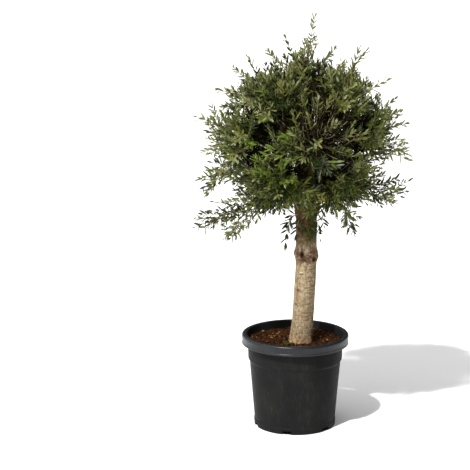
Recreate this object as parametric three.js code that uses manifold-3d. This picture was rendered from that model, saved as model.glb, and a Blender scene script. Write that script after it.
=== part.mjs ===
// A potted olive tree: a nursery pot filled with soil, a leaning trunk that forks into five boughs,
// side boughs that leave them at collars, and a round crown made of separate masses of twigs and leaves.
// Millimetres, +Z up. The origin is the centre of the pot's flat underside, and -Y is the front.
import * as THREE from 'three';
import { mergeVertices } from 'three/addons/utils/BufferGeometryUtils.js';
import Module from 'manifold-3d';

const wasm = await Module();
wasm.setup();

// Fit between neighbouring pieces
const FIT_GAP = 0.3;

// Pot: a tapered body with a foot band, a wider shoulder and a rolled rim
const POT_HEIGHT = 352;
const POT_RIM_RADIUS = 200;
const POT_MOUTH_RADIUS = 180;
const POT_COLLAR_HEIGHT = 36;
const POT_SHOULDER_RADIUS = 178;
const POT_SHOULDER_FOOT_RADIUS = 176;
const POT_SHOULDER_BOTTOM = 257;
const POT_STEP_BOTTOM = 248;
const POT_STEP_RADIUS = 170.5;
const POT_FOOT_RADIUS = 152;
const POT_FOOT_HEIGHT = 23;
const POT_FOOT_LEDGE = 1.4;
const POT_WALL = 3;
const POT_FLOOR = 4;
const POT_EDGE_ROUND = 2;
const POT_SIDES = 32;

// Drain slots through the corner between the pot's wall and floor
const SLOT_COUNT = 6;
const SLOT_WIDTH = 33;
const SLOT_HEIGHT = 11;
const SLOT_DEPTH = 16;
const SLOT_FIRST_ANGLE = -13;

// Soil
const SOIL_LEVEL = 325;

// Trunk: it leans to the right below and stands upright above
const TRUNK_FOOT = [20, -27];
const TRUNK_LEAN = [18, 17];
const TRUNK_LEAN_TOP = 640;
const TRUNK_LEAN_EASE = 0.35;
const TRUNK_TOP = 872;
const TRUNK_FOOT_RADIUS = 41.5;
const TRUNK_NECK_RADIUS = 38.7;
const TRUNK_NECK_HEIGHT = 600;
const TRUNK_UNEVENNESS = 0.015;
const TRUNK_TWIST = 1 / 60;
const TRUNK_SIDES = 12;
const TRUNK_STEPS = 16;
const ROOT_FLARE = 3.5;
const ROOT_FLARE_HEIGHT = 26;
const ROOT_LOBES = 5;
const ROOT_LOBE_DEPTH = 0.5;
const KNOT_HEIGHT = 661;
const KNOT_SPREAD = 19;
const KNOT_SWELL = 5.5;
const KNOT_FLATNESS = 0.2;
const FORK_FLARE = 14;
const FORK_FLARE_START = 785;
const FORK_ROUNDING = 0.42;
const FORK_ROUNDING_START = 846;

// Boughs: four main ones and a leader from the fork, and a side bough from each main one
const FORK_HEIGHT = 822;
const FORK_COLLAR_LENGTH = 74;
const FORK_TILT = 37;
const LEADER_RADIUS = 25;
const MAIN_RADIUS = 23;
const SIDE_RADIUS = 13;
const BOUGH_TIP_RADIUS = 9;
const SIDE_COLLAR_PLACE = 0.55;
const SIDE_COLLAR_LEVELLING = 0.5;
const COLLAR_CLEARANCE = 5;
const COLLAR_SWELL = 1.15;
const BOUGH_SIDES = 7;
const BOUGH_STEPS = 5;
const CURVE_PULL = 1 / 3;

// Low stems leave the trunk itself, below the fork
const LOW_STEM_HEIGHT = 796;
const LOW_STEM_COLLAR_LENGTH = 88;
const LOW_STEM_RADIUS = 11;

// Crown: masses in three rings and one on top, each in its own cell
const CROWN_CENTRE = [25, 0, 1100];
const CROWN_RADII = [318, 306, 300];
const RING_COUNT = 4;
const RING_FIRST_AZIMUTH = 10;
const MASS_DISTANCE = 192;
const MIDDLE_ELEVATION = 5;
const LOW_ELEVATION = -42;
const HIGH_ELEVATION = 43;
const CELL_MARGIN = 1.5;
const CORE_SHARE = 0.64;
const CORE_LARGEST = 90;
const CORE_SKIN = 0.75;
const CORE_DETAIL = 1;
const CORE_ENTRY = 14;
const CORE_CLEARANCE = 14;
const LIMB_CLEARANCE = 2.5;
const FIT_TEST_STEP = 8;

// Long shoots that stand out of the crown's outline as seen from the front: degrees round the crown's centre
// from +X towards +Z, reach from the centre in the XZ plane, and depth behind that plane
const LONG_SHOOTS = [
  [85, 447, 10],
  [90, 354, -60],
  [101, 372, 70],
  [113, 342, -40],
  [126, 346, 40],
  [136, 365, -50],
  [153, 353, 60],
  [169, 410, -20],
  [179, 352, 60],
  [-172, 367, -50],
  [-159, 372, 60],
  [-153, 416, -70],
  [-141, 506, -105],
  [-128, 454, -120],
  [-62, 386, -110],
  [-46, 365, 120],
  [-35, 395, -105],
  [-27, 420, -90],
  [-10, 401, -30],
  [5, 383, 60],
  [15, 352, -40],
  [21, 366, 60],
  [35, 380, -60],
  [53, 382, 60],
  [59, 376, -70],
  [70, 331, 50],
];

// Twigs end evenly over the crown's surface, apart from the space round the trunk
const TWIG_ENDS = 122;
const TWIG_END_JITTER = 0.1;
const TWIG_REACH_VARIATION = 0.13;
const TWIG_REACH_BIAS = 0.35;
const TWIG_END_MARGIN = 9;
const TWIG_END_PULLS = 5;
const TWIG_END_PULL = 0.1;
const GOLDEN_ANGLE = 137.508;
const TRUNK_SPACE_ELEVATION = -66;
const LONG_SHOOT_SPACING = 13;
const TWIG_SIDES = 3;
const TWIG_ROOT_RADIUS = 5;
const TWIG_NECK_RADIUS = 3;
const STEM_TIP_RADIUS = 6;
const STEM_OVERRUN = 30;
const STEM_STEPS = 3;
const STEM_FIRST_TWIG = 0.45;
const STEM_LAST_TWIG = 0.95;

// Leaves, each standing for a pair or more of the real ones
const LEAF_LENGTH = 76;
const LEAF_WIDTH = 27;
const LEAF_THICKNESS = 5;
const LEAF_BELLY = 0.45;
const LEAF_SPREAD = 46;
const LEAF_SPACING = 34;
const LEAF_ROOT_COVER = 12;
const LEAF_SINK = 1.5;
const FIRST_LEAF = 5;
const LEAVES_AT_A_NODE = 2;
const LEAF_LENGTH_VARIATION = 0.2;

// Leaves round the rim of each core, which close the crown between one mass and the next. The first is set
// from a way that no mass faces.
const RIM_LEAVES = 10;
const RIM_ANGLE = 58;
const RIM_ANGLE_STAGGER = 22;
const RIM_LEAF_SPLAY = 14;
const RIM_LEAF_SINK = 9;
const RIM_START_AZIMUTH = 34;
const RIM_START_ELEVATION = 68;

const SEED = 1213;
const WELD = 1e-4;

const { degToRad, radToDeg, smoothstep, clamp, lerp } = THREE.MathUtils;

// Seeded numbers from 0 to 1
function makeRandom(seed) {
  let state = seed >>> 0;
  return () => {
    state = (Math.imul(state, 1664525) + 1013904223) >>> 0;
    return state / 2 ** 32;
  };
}

function direction(azimuth, elevation) {
  const level = Math.cos(degToRad(elevation));
  const [east, north] = [Math.cos(degToRad(azimuth)), Math.sin(degToRad(azimuth))];
  return new THREE.Vector3(level * east, level * north, Math.sin(degToRad(elevation)));
}

const upright = new THREE.Vector3(0, 0, 1);
const along = (from, way, distance) => from.clone().addScaledVector(way, distance);

// Solids for joining and cutting
function mergeBare(geometry) {
  const bare = geometry.clone();
  bare.deleteAttribute('normal');
  bare.deleteAttribute('uv');
  return mergeVertices(bare, WELD);
}

function toSolid(geometry) {
  const welded = mergeBare(geometry);
  return new wasm.Manifold(new wasm.Mesh({
    numProp: 3,
    vertProperties: new Float32Array(welded.attributes.position.array),
    triVerts: new Uint32Array(welded.index.array),
  }));
}

function toGeometry(solid) {
  const mesh = solid.getMesh();
  const geometry = new THREE.BufferGeometry();
  geometry.setAttribute('position', new THREE.BufferAttribute(new Float32Array(mesh.vertProperties), 3));
  geometry.setIndex(new THREE.BufferAttribute(new Uint32Array(mesh.triVerts), 1));
  geometry.computeVertexNormals();
  return geometry;
}

// Joins solids into one body: sealed hollows are filled and loose scraps are dropped
function fuse(solids) {
  const joined = solids.reduce((whole, solid) => whole.add(solid));
  const bodies = joined.decompose();
  return bodies.reduce((largest, body) => (body.volume() > largest.volume() ? body : largest));
}

// A limb follows a curve with a changing radius: a cylinder's rings are moved onto the curve
function limbGeometry(curve, radiusAt, sides, steps) {
  const geometry = new THREE.CylinderGeometry(1, 1, 1, sides, steps);
  const frames = curve.computeFrenetFrames(steps, false);
  const position = geometry.attributes.position;
  for (let i = 0; i < position.count; i += 1) {
    const ring = Math.round((position.getY(i) + 0.5) * steps);
    const t = ring / steps;
    const radius = radiusAt(t);
    const place = curve.getPointAt(t);
    place.addScaledVector(frames.normals[ring], -position.getX(i) * radius);
    place.addScaledVector(frames.binormals[ring], position.getZ(i) * radius);
    position.setXYZ(i, place.x, place.y, place.z);
  }
  return geometry;
}

const taper = (start, end) => (t) => start + (end - start) * t;

function straightLimb(start, end, startRadius, endRadius, sides) {
  return limbGeometry(new THREE.LineCurve3(start, end), taper(startRadius, endRadius), sides, 1);
}

// Limbs are kept as straight stretches with a radius, so that foliage can stay clear of them
function stretches(curve, radiusAt, steps) {
  const list = [];
  for (let i = 0; i < steps; i += 1) {
    const line = new THREE.Line3(curve.getPointAt(i / steps), curve.getPointAt((i + 1) / steps));
    list.push({ line, radius: Math.max(radiusAt(i / steps), radiusAt((i + 1) / steps)) });
  }
  return list;
}

function turned(outline, sides) {
  const corners = outline.map(([radius, height]) => new THREE.Vector2(radius, height));
  return new THREE.LatheGeometry(corners, sides);
}

// Pot
function potGeometry() {
  const collarBottom = POT_HEIGHT - POT_COLLAR_HEIGHT;
  const footTop = POT_FOOT_RADIUS + (POT_STEP_RADIUS - POT_FOOT_RADIUS) * POT_FOOT_HEIGHT / POT_STEP_BOTTOM;
  const outline = [
    [0, 0],
    [POT_FOOT_RADIUS - POT_EDGE_ROUND, 0],
    [POT_FOOT_RADIUS, POT_EDGE_ROUND],
    [footTop, POT_FOOT_HEIGHT],
    [footTop - POT_FOOT_LEDGE, POT_FOOT_HEIGHT + POT_FOOT_LEDGE],
    [POT_STEP_RADIUS, POT_STEP_BOTTOM],
    [POT_SHOULDER_FOOT_RADIUS, POT_SHOULDER_BOTTOM],
    [POT_SHOULDER_RADIUS, collarBottom],
    [POT_MOUTH_RADIUS + POT_WALL, POT_HEIGHT - POT_WALL],
    [POT_RIM_RADIUS - POT_WALL, POT_HEIGHT - POT_WALL],
    [POT_RIM_RADIUS - POT_WALL, collarBottom],
    [POT_RIM_RADIUS, collarBottom],
    [POT_RIM_RADIUS, POT_HEIGHT - 2 * POT_EDGE_ROUND],
    [POT_RIM_RADIUS - 2 * POT_EDGE_ROUND, POT_HEIGHT],
    [POT_MOUTH_RADIUS + POT_EDGE_ROUND, POT_HEIGHT],
    [POT_MOUTH_RADIUS, POT_HEIGHT - POT_EDGE_ROUND],
    ...potInside(0),
    [0, POT_FLOOR],
  ];
  return turned(outline, POT_SIDES).rotateX(Math.PI / 2);
}

// The pot's inner wall from its shoulder down to its floor, drawn in by a gap
function potInside(gap) {
  const inset = POT_WALL + gap;
  return [
    [POT_SHOULDER_RADIUS - inset, POT_HEIGHT - POT_COLLAR_HEIGHT],
    [POT_SHOULDER_FOOT_RADIUS - inset, POT_SHOULDER_BOTTOM],
    [POT_STEP_RADIUS - inset, POT_STEP_BOTTOM],
    [POT_FOOT_RADIUS - inset, POT_FLOOR + gap],
  ];
}

function buildPot() {
  let pot = toSolid(potGeometry());
  for (let i = 0; i < SLOT_COUNT; i += 1) {
    const slot = new THREE.BoxGeometry(SLOT_WIDTH, 2 * SLOT_DEPTH, 2 * SLOT_HEIGHT);
    slot.translate(0, -POT_FOOT_RADIUS, 0);
    slot.rotateZ(degToRad(SLOT_FIRST_ANGLE + 360 / SLOT_COUNT * i));
    pot = pot.subtract(toSolid(slot));
  }
  return toGeometry(pot);
}

// Soil fills the pot, and has a level top
function soilGeometry() {
  const wall = potInside(FIT_GAP);
  const [topRadius] = wall[0];
  const outline = [[0, SOIL_LEVEL], [topRadius, SOIL_LEVEL], ...wall, [0, POT_FLOOR + FIT_GAP]];
  return turned(outline.reverse(), POT_SIDES).rotateX(Math.PI / 2);
}

// Trunk: its foot is cut flat at the soil, and its top is rounded in under the boughs
function trunkCentre(height) {
  const rise = (height - SOIL_LEVEL) / (TRUNK_TOP - SOIL_LEVEL);
  const leanShare = Math.min((height - SOIL_LEVEL) / (TRUNK_LEAN_TOP - SOIL_LEVEL), 1);
  const lean = leanShare * (1 + TRUNK_LEAN_EASE * (1 - leanShare));
  const [x, y] = [TRUNK_FOOT[0] + TRUNK_LEAN[0] * lean, TRUNK_FOOT[1] + TRUNK_LEAN[1] * rise];
  return new THREE.Vector3(x, y, height);
}

function trunkRadius(height, angle) {
  const rise = clamp((height - SOIL_LEVEL) / (TRUNK_NECK_HEIGHT - SOIL_LEVEL), 0, 1);
  const even = lerp(TRUNK_FOOT_RADIUS, TRUNK_NECK_RADIUS, rise);
  const round = even * (1 + TRUNK_UNEVENNESS * Math.cos(2 * angle + height * TRUNK_TWIST));
  const lobes = 1 - ROOT_LOBE_DEPTH * Math.cos(ROOT_LOBES * angle);
  const flare = ROOT_FLARE * lobes * Math.exp(-(height - SOIL_LEVEL) / ROOT_FLARE_HEIGHT);
  const knotWidth = KNOT_SWELL * (1 + KNOT_FLATNESS * Math.cos(2 * angle));
  const knot = knotWidth * Math.exp(-(((height - KNOT_HEIGHT) / KNOT_SPREAD) ** 2));
  const fork = FORK_FLARE * smoothstep(height, FORK_FLARE_START, TRUNK_TOP);
  const rounding = 1 - FORK_ROUNDING * smoothstep(height, FORK_ROUNDING_START, TRUNK_TOP);
  return (round + flare + knot + fork) * rounding;
}

function trunkGeometry() {
  const height = TRUNK_TOP - SOIL_LEVEL - FIT_GAP;
  const geometry = new THREE.CylinderGeometry(1, 1, height, TRUNK_SIDES, TRUNK_STEPS);
  geometry.rotateX(Math.PI / 2);
  geometry.translate(0, 0, SOIL_LEVEL + FIT_GAP + height / 2);
  const position = geometry.attributes.position;
  for (let i = 0; i < position.count; i += 1) {
    const [x, y, z] = [position.getX(i), position.getY(i), position.getZ(i)];
    const radius = trunkRadius(z, Math.atan2(y, x));
    const centre = trunkCentre(z);
    position.setXYZ(i, centre.x + x * radius, centre.y + y * radius, z);
  }
  return geometry;
}

function trunkStretches() {
  const list = [];
  const step = (TRUNK_TOP - SOIL_LEVEL) / TRUNK_STEPS;
  for (let i = 0; i < TRUNK_STEPS; i += 1) {
    const low = SOIL_LEVEL + i * step;
    const radius = Math.max(trunkRadius(low, 0), trunkRadius(low + step, 0));
    list.push({ line: new THREE.Line3(trunkCentre(low), trunkCentre(low + step)), radius });
  }
  return list;
}

// Crown masses: a name, a centre and the direction that the mass faces
const crownCentre = new THREE.Vector3(...CROWN_CENTRE);

function placeMass(name, azimuth, elevation) {
  const facing = direction(azimuth, elevation);
  return { name: `foliage_${name}`, facing, centre: along(crownCentre, facing, MASS_DISTANCE) };
}

const ringAzimuth = (k) => RING_FIRST_AZIMUTH + 360 / RING_COUNT * k;
const cornerAzimuth = (k) => ringAzimuth(k) + 180 / RING_COUNT;
const SIDES = ['right', 'back', 'left', 'front'];
const CORNERS = ['right_back', 'left_back', 'left_front', 'right_front'];
const middleMasses = SIDES.map((name, k) => placeMass(name, ringAzimuth(k), MIDDLE_ELEVATION));
const highMasses = CORNERS.map((name, k) => placeMass(`${name}_high`, cornerAzimuth(k), HIGH_ELEVATION));
const lowMasses = CORNERS.map((name, k) => placeMass(`${name}_low`, cornerAzimuth(k), LOW_ELEVATION));
const topMass = placeMass('top', 0, 90);
const masses = [...middleMasses, ...highMasses, ...lowMasses, topMass];

// A mass's cell is the space nearer to its centre than to any other: flat walls halfway to each neighbour
for (const mass of masses) {
  mass.walls = masses.filter((other) => other !== mass).map((other) => {
    const normal = other.centre.clone().sub(mass.centre).normalize();
    const halfway = mass.centre.clone().lerp(other.centre, 0.5);
    return new THREE.Plane().setFromNormalAndCoplanarPoint(normal, halfway);
  });
}

const insideCell = (mass, place, margin) => mass.walls.every((wall) => wall.distanceToPoint(place) < -margin);

// How far the crown's body reaches from its centre in a direction
function bodyReach(way) {
  const [a, b, c] = CROWN_RADII;
  return 1 / Math.hypot(way.x / a, way.y / b, way.z / c);
}

function reachesSkin(place, share) {
  const way = place.clone().sub(crownCentre);
  const reach = way.length();
  return reach > share * bodyReach(way.normalize());
}

// A core's radius in a direction: a share of the way to the cell's walls, under the crown's skin
function coreRadius(mass, way) {
  let radius = CORE_LARGEST;
  for (const wall of mass.walls) {
    const closing = wall.normal.dot(way);
    if (closing > 0) {
      radius = Math.min(radius, CORE_SHARE * -wall.distanceToPoint(mass.centre) / closing);
    }
  }
  while (reachesSkin(along(mass.centre, way, radius), CORE_SKIN)) {
    radius -= 1;
  }
  return radius;
}

// Boughs
function boughCurve(start, startWay, end, endWay) {
  const pull = start.distanceTo(end) * CURVE_PULL;
  return new THREE.CubicBezierCurve3(start, along(start, startWay, pull), along(end, endWay, -pull), end);
}

function makeBough(name, start, way, radius, mass) {
  const entryWay = mass.centre.clone().sub(start).normalize();
  const entry = along(mass.centre, entryWay, -coreRadius(mass, entryWay.clone().negate()) - CORE_ENTRY);
  const curve = boughCurve(along(start, way, FIT_GAP), way, entry, entryWay);
  const radiusAt = taper(radius, BOUGH_TIP_RADIUS);
  mass.stemStart = along(entry, entryWay, FIT_GAP);
  mass.stemWay = entryWay;
  mass.stemRadius = BOUGH_TIP_RADIUS;
  return {
    name: `bough_${name}`,
    curve,
    radiusAt,
    solid: toSolid(limbGeometry(curve, radiusAt, BOUGH_SIDES, BOUGH_STEPS)),
    stretches: stretches(curve, radiusAt, BOUGH_STEPS),
  };
}

// A collar is a short stub that a bough or stem continues from, ending in a flat face
function addCollar(limb, start, way, length, radius) {
  const end = along(start, way, length);
  limb.solid = limb.solid.add(toSolid(straightLimb(start, end, radius * COLLAR_SWELL, radius, BOUGH_SIDES)));
  limb.stretches.push({ line: new THREE.Line3(start, end), radius: radius * COLLAR_SWELL });
  return end;
}

function addSideCollar(bough, mass) {
  const start = bough.curve.getPointAt(SIDE_COLLAR_PLACE);
  const parentWay = bough.curve.getTangentAt(SIDE_COLLAR_PLACE);
  const way = mass.centre.clone().sub(start).normalize();
  way.addScaledVector(parentWay, -way.dot(parentWay) * SIDE_COLLAR_LEVELLING).normalize();
  const angle = way.angleTo(parentWay);
  const parentRadius = bough.radiusAt(SIDE_COLLAR_PLACE);
  const length = (parentRadius + SIDE_RADIUS * Math.cos(angle) + COLLAR_CLEARANCE) / Math.sin(angle);
  return [addCollar(bough, start, way, length, SIDE_RADIUS), way];
}

const trunk = { name: 'trunk', solid: toSolid(trunkGeometry()), stretches: trunkStretches() };
const forkPoint = trunkCentre(FORK_HEIGHT);
const leaderStart = addCollar(trunk, forkPoint, upright, FORK_COLLAR_LENGTH, LEADER_RADIUS);
const boughs = [makeBough('leader', leaderStart, upright, LEADER_RADIUS, topMass)];

for (let k = 0; k < RING_COUNT; k += 1) {
  const way = direction(ringAzimuth(k), 90 - FORK_TILT);
  const start = addCollar(trunk, forkPoint, way, FORK_COLLAR_LENGTH, MAIN_RADIUS);
  const main = makeBough(SIDES[k], start, way, MAIN_RADIUS, middleMasses[k]);
  const [sideStart, sideWay] = addSideCollar(main, highMasses[k]);
  boughs.push(main, makeBough(`${CORNERS[k]}_high`, sideStart, sideWay, SIDE_RADIUS, highMasses[k]));
}

// A low mass's stem meets the trunk itself
for (const mass of lowMasses) {
  const root = trunkCentre(LOW_STEM_HEIGHT);
  mass.stemWay = mass.centre.clone().sub(root).normalize();
  const collarEnd = addCollar(trunk, root, mass.stemWay, LOW_STEM_COLLAR_LENGTH, LOW_STEM_RADIUS);
  mass.stemStart = along(collarEnd, mass.stemWay, FIT_GAP);
  mass.stemRadius = LOW_STEM_RADIUS;
}

const limbs = [trunk, ...boughs];
const limbStretches = limbs.flatMap((limb) => limb.stretches);

function clearOfLimbs(place, gap) {
  const nearest = new THREE.Vector3();
  return limbStretches.every(({ line, radius }) => {
    line.closestPointToPoint(place, true, nearest);
    return nearest.distanceTo(place) > radius + gap;
  });
}

// A core is a ball drawn out to the core's radius on every side, and held off the limbs that pass it
function coreGeometry(mass) {
  const geometry = mergeBare(new THREE.IcosahedronGeometry(1, CORE_DETAIL));
  const position = geometry.attributes.position;
  const way = new THREE.Vector3();
  for (let i = 0; i < position.count; i += 1) {
    way.fromBufferAttribute(position, i).normalize();
    let radius = coreRadius(mass, way);
    while (!clearOfLimbs(along(mass.centre, way, radius), CORE_CLEARANCE)) {
      radius -= 1;
    }
    const place = along(mass.centre, way, radius);
    position.setXYZ(i, place.x, place.y, place.z);
  }
  return geometry;
}

// True where a straight twig or leaf stays in its mass's cell and off every limb
function fits(mass, start, end, halfWidth) {
  const steps = Math.ceil(start.distanceTo(end) / FIT_TEST_STEP);
  for (let i = 0; i <= steps; i += 1) {
    const place = start.clone().lerp(end, i / steps);
    const width = halfWidth * Math.sin(Math.PI * i / steps);
    if (!clearOfLimbs(place, width + LIMB_CLEARANCE) || !insideCell(mass, place, width + CELL_MARGIN)) {
      return false;
    }
  }
  return true;
}

// Twig ends, spread evenly over the crown, with the long shoots first
function twigEnds(random) {
  const ends = LONG_SHOOTS.map(([angle, reach, depth]) => new THREE.Vector3(
    crownCentre.x + reach * Math.cos(degToRad(angle)),
    depth,
    crownCentre.z + reach * Math.sin(degToRad(angle)),
  ));
  const longWays = ends.map((end) => end.clone().sub(crownCentre).normalize());
  for (let i = 0; i < TWIG_ENDS; i += 1) {
    const way = direction(i * GOLDEN_ANGLE, radToDeg(Math.asin(1 - (2 * i + 1) / TWIG_ENDS)));
    way.x += TWIG_END_JITTER * (random() - 0.5);
    way.y += TWIG_END_JITTER * (random() - 0.5);
    way.z += TWIG_END_JITTER * (random() - 0.5);
    way.normalize();
    const reach = bodyReach(way) * (1 + TWIG_REACH_VARIATION * (random() - TWIG_REACH_BIAS));
    const nearTrunk = way.z < Math.sin(degToRad(TRUNK_SPACE_ELEVATION));
    const nearLong = longWays.some((other) => other.angleTo(way) < degToRad(LONG_SHOOT_SPACING));
    if (!nearTrunk && !nearLong) {
      ends.push(along(crownCentre, way, reach));
    }
  }
  return ends;
}

const nearestMass = (place) => masses.reduce((best, mass) => (
  mass.centre.distanceTo(place) < best.centre.distanceTo(place) ? mass : best
));

// Each end belongs to the mass whose cell it lies in, and is pulled in from a wall that it is too near
function shareOutTwigEnds(random) {
  for (const mass of masses) {
    mass.twigEnds = [];
  }
  for (const end of twigEnds(random)) {
    const mass = nearestMass(end);
    const middle = along(mass.centre, mass.facing, end.distanceTo(mass.centre));
    for (let pulls = 0; pulls < TWIG_END_PULLS && !insideCell(mass, end, TWIG_END_MARGIN); pulls += 1) {
      end.lerp(middle, TWIG_END_PULL);
    }
    mass.twigEnds.push(end);
  }
}

// Leaves and twigs have a three-cornered section, one and a half radii high.
// A leaf is widest at its belly, flattened, and has a keel along one side.
const LEAF_RADIUS = LEAF_WIDTH / Math.sqrt(3);
const LEAF_FLATNESS = LEAF_THICKNESS / (1.5 * LEAF_RADIUS);

function leafGeometry(length) {
  const outline = [[0, 0], [LEAF_RADIUS, LEAF_BELLY * length], [0, length]];
  return turned(outline, TWIG_SIDES).scale(1, 1, LEAF_FLATNESS);
}

// A twig runs from its root to a neck and on into the leaf at its end
function twigGeometry(length) {
  const neck = length - LEAF_LENGTH;
  const belly = neck + LEAF_BELLY * LEAF_LENGTH;
  const wood = [[0, 0], [TWIG_ROOT_RADIUS, 0], [TWIG_NECK_RADIUS, neck]];
  const geometry = turned([...wood, [LEAF_RADIUS, belly], [0, length]], TWIG_SIDES);
  const position = geometry.attributes.position;
  for (let i = 0; i < position.count; i += 1) {
    const flattening = position.getY(i) > (neck + belly) / 2 ? LEAF_FLATNESS : 1;
    position.setZ(i, position.getZ(i) * flattening);
  }
  return geometry;
}

// Moves a shape that grows along its own Y axis to a root, to grow along a way from there
function planted(geometry, root, across, way) {
  const outward = new THREE.Vector3().crossVectors(across, way);
  geometry.applyMatrix4(new THREE.Matrix4().makeBasis(across, way, outward));
  return geometry.translate(root.x, root.y, root.z);
}

// A leaf leaves one flat side of its twig, and turns its flat face to the twig's end
function addLeaf(mass, solids, root, twigWay, side, length) {
  const across = new THREE.Vector3().crossVectors(twigWay, side).normalize();
  const spread = degToRad(LEAF_SPREAD);
  const way = twigWay.clone().multiplyScalar(Math.cos(spread)).addScaledVector(side, Math.sin(spread));
  const sunkRoot = along(root, way, -LEAF_SINK);
  if (fits(mass, sunkRoot, along(sunkRoot, way, length), LEAF_WIDTH / 2)) {
    solids.push(toSolid(planted(leafGeometry(length), sunkRoot, across, way)));
  }
}

// A twig leaves the stem sooner the more it points aside, and carries leaves where it is outside the core
function addTwig(mass, solids, end, random) {
  const straightness = 1 - mass.facing.angleTo(end.clone().sub(mass.centre)) / Math.PI;
  const start = mass.stemCurve.getPointAt(clamp(straightness, STEM_FIRST_TWIG, STEM_LAST_TWIG));
  const way = end.clone().sub(start).normalize();
  const length = start.distanceTo(end);
  const roll = degToRad(360 * random());
  if (!fits(mass, start, end, LEAF_WIDTH / 2)) {
    return;
  }
  const across = new THREE.Vector3().crossVectors(way, upright).normalize().applyAxisAngle(way, roll);
  solids.push(toSolid(planted(twigGeometry(length), start, across, way)));
  const corner = new THREE.Vector3().crossVectors(across, way);
  const firstSide = corner.applyAxisAngle(way, degToRad(180 / TWIG_SIDES));
  let turn = 0;
  for (let place = length - LEAF_LENGTH - FIRST_LEAF; place > 0; place -= LEAF_SPACING) {
    const root = along(start, way, place);
    const rootWay = root.clone().sub(mass.centre).normalize();
    if (root.distanceTo(mass.centre) + LEAF_ROOT_COVER < coreRadius(mass, rootWay)) {
      return;
    }
    for (let i = 0; i < LEAVES_AT_A_NODE; i += 1) {
      const side = firstSide.clone().applyAxisAngle(way, degToRad(360 / TWIG_SIDES * turn));
      addLeaf(mass, solids, root, way, side, LEAF_LENGTH * (1 + LEAF_LENGTH_VARIATION * (random() - 0.5)));
      turn += 1;
    }
  }
}

function addRimLeaves(mass, solids, random) {
  const rimStart = direction(RIM_START_AZIMUTH, RIM_START_ELEVATION);
  const aside = new THREE.Vector3().crossVectors(mass.facing, rimStart).normalize();
  for (let i = 0; i < RIM_LEAVES; i += 1) {
    const round = degToRad(360 / RIM_LEAVES * (i + 0.5 * random()));
    const tilt = RIM_ANGLE + RIM_ANGLE_STAGGER * (i % 2);
    const turnedAside = aside.clone().applyAxisAngle(mass.facing, round);
    const rootWay = mass.facing.clone().applyAxisAngle(turnedAside, degToRad(tilt));
    const leafWay = mass.facing.clone().applyAxisAngle(turnedAside, degToRad(tilt + RIM_LEAF_SPLAY));
    const root = along(mass.centre, rootWay, coreRadius(mass, rootWay) - RIM_LEAF_SINK);
    if (fits(mass, root, along(root, leafWay, LEAF_LENGTH), LEAF_WIDTH / 2)) {
      solids.push(toSolid(planted(leafGeometry(LEAF_LENGTH), root, turnedAside, leafWay)));
    }
  }
}

function buildMass(mass, random) {
  const stemEnd = along(mass.centre, mass.facing, STEM_OVERRUN);
  mass.stemCurve = boughCurve(mass.stemStart, mass.stemWay, stemEnd, mass.facing);
  const stem = limbGeometry(mass.stemCurve, taper(mass.stemRadius, STEM_TIP_RADIUS), BOUGH_SIDES, STEM_STEPS);
  const solids = [toSolid(coreGeometry(mass)), toSolid(stem)];
  for (const end of mass.twigEnds) {
    addTwig(mass, solids, end, random);
  }
  addRimLeaves(mass, solids, random);
  return toGeometry(fuse(solids));
}

// Materials
const plain = (color, roughness) => new THREE.MeshStandardMaterial({ color, roughness, metalness: 0 });
const potPlastic = plain(0x1d1e21, 0.55);
const soilCrumb = plain(0x2e1d16, 0.95);
const bark = plain(0x7d6a53, 0.9);
const foliage = plain(0x4f5e35, 0.6);

const tree = new THREE.Group();

function addPart(name, geometry, material) {
  const mesh = new THREE.Mesh(geometry, material);
  mesh.name = name;
  tree.add(mesh);
}

addPart('pot', buildPot(), potPlastic);
addPart('soil', soilGeometry(), soilCrumb);
for (const limb of limbs) {
  addPart(limb.name, toGeometry(limb.solid), bark);
}
const random = makeRandom(SEED);
shareOutTwigEnds(random);
for (const mass of masses) {
  addPart(mass.name, buildMass(mass, random), foliage);
}

export default tree;
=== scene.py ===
# A potted olive tree: fine bark, pot and soil, and a crown grown by the part's own rule down to single leaves
from math import asin, ceil, cos, degrees, exp, hypot, pi, radians, sin, sqrt
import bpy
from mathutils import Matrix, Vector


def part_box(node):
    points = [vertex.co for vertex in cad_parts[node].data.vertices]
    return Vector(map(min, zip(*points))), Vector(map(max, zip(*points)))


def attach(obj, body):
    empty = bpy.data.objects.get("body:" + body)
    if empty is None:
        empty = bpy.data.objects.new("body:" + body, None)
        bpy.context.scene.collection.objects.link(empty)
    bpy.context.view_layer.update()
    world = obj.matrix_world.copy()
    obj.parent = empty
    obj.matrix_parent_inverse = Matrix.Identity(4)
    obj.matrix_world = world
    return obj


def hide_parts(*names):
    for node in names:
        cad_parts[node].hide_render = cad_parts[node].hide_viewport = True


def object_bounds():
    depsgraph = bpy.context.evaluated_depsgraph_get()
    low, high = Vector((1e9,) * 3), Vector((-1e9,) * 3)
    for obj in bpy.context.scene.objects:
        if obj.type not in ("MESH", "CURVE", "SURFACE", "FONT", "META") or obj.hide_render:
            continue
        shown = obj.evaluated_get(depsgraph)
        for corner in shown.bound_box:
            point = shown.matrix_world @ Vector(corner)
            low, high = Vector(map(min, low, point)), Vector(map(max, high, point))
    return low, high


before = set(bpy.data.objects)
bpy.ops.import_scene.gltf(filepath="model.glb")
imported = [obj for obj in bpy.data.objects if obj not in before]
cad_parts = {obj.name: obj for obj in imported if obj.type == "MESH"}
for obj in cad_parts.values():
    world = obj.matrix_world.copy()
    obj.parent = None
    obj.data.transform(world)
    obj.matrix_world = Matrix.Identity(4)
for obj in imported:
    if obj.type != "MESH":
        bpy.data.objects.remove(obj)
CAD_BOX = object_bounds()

from types import SimpleNamespace

import bmesh
import bpy
import numpy as np
from mathutils import Matrix, Vector, noise

# Metres, +Z up, -Y at the front

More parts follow.
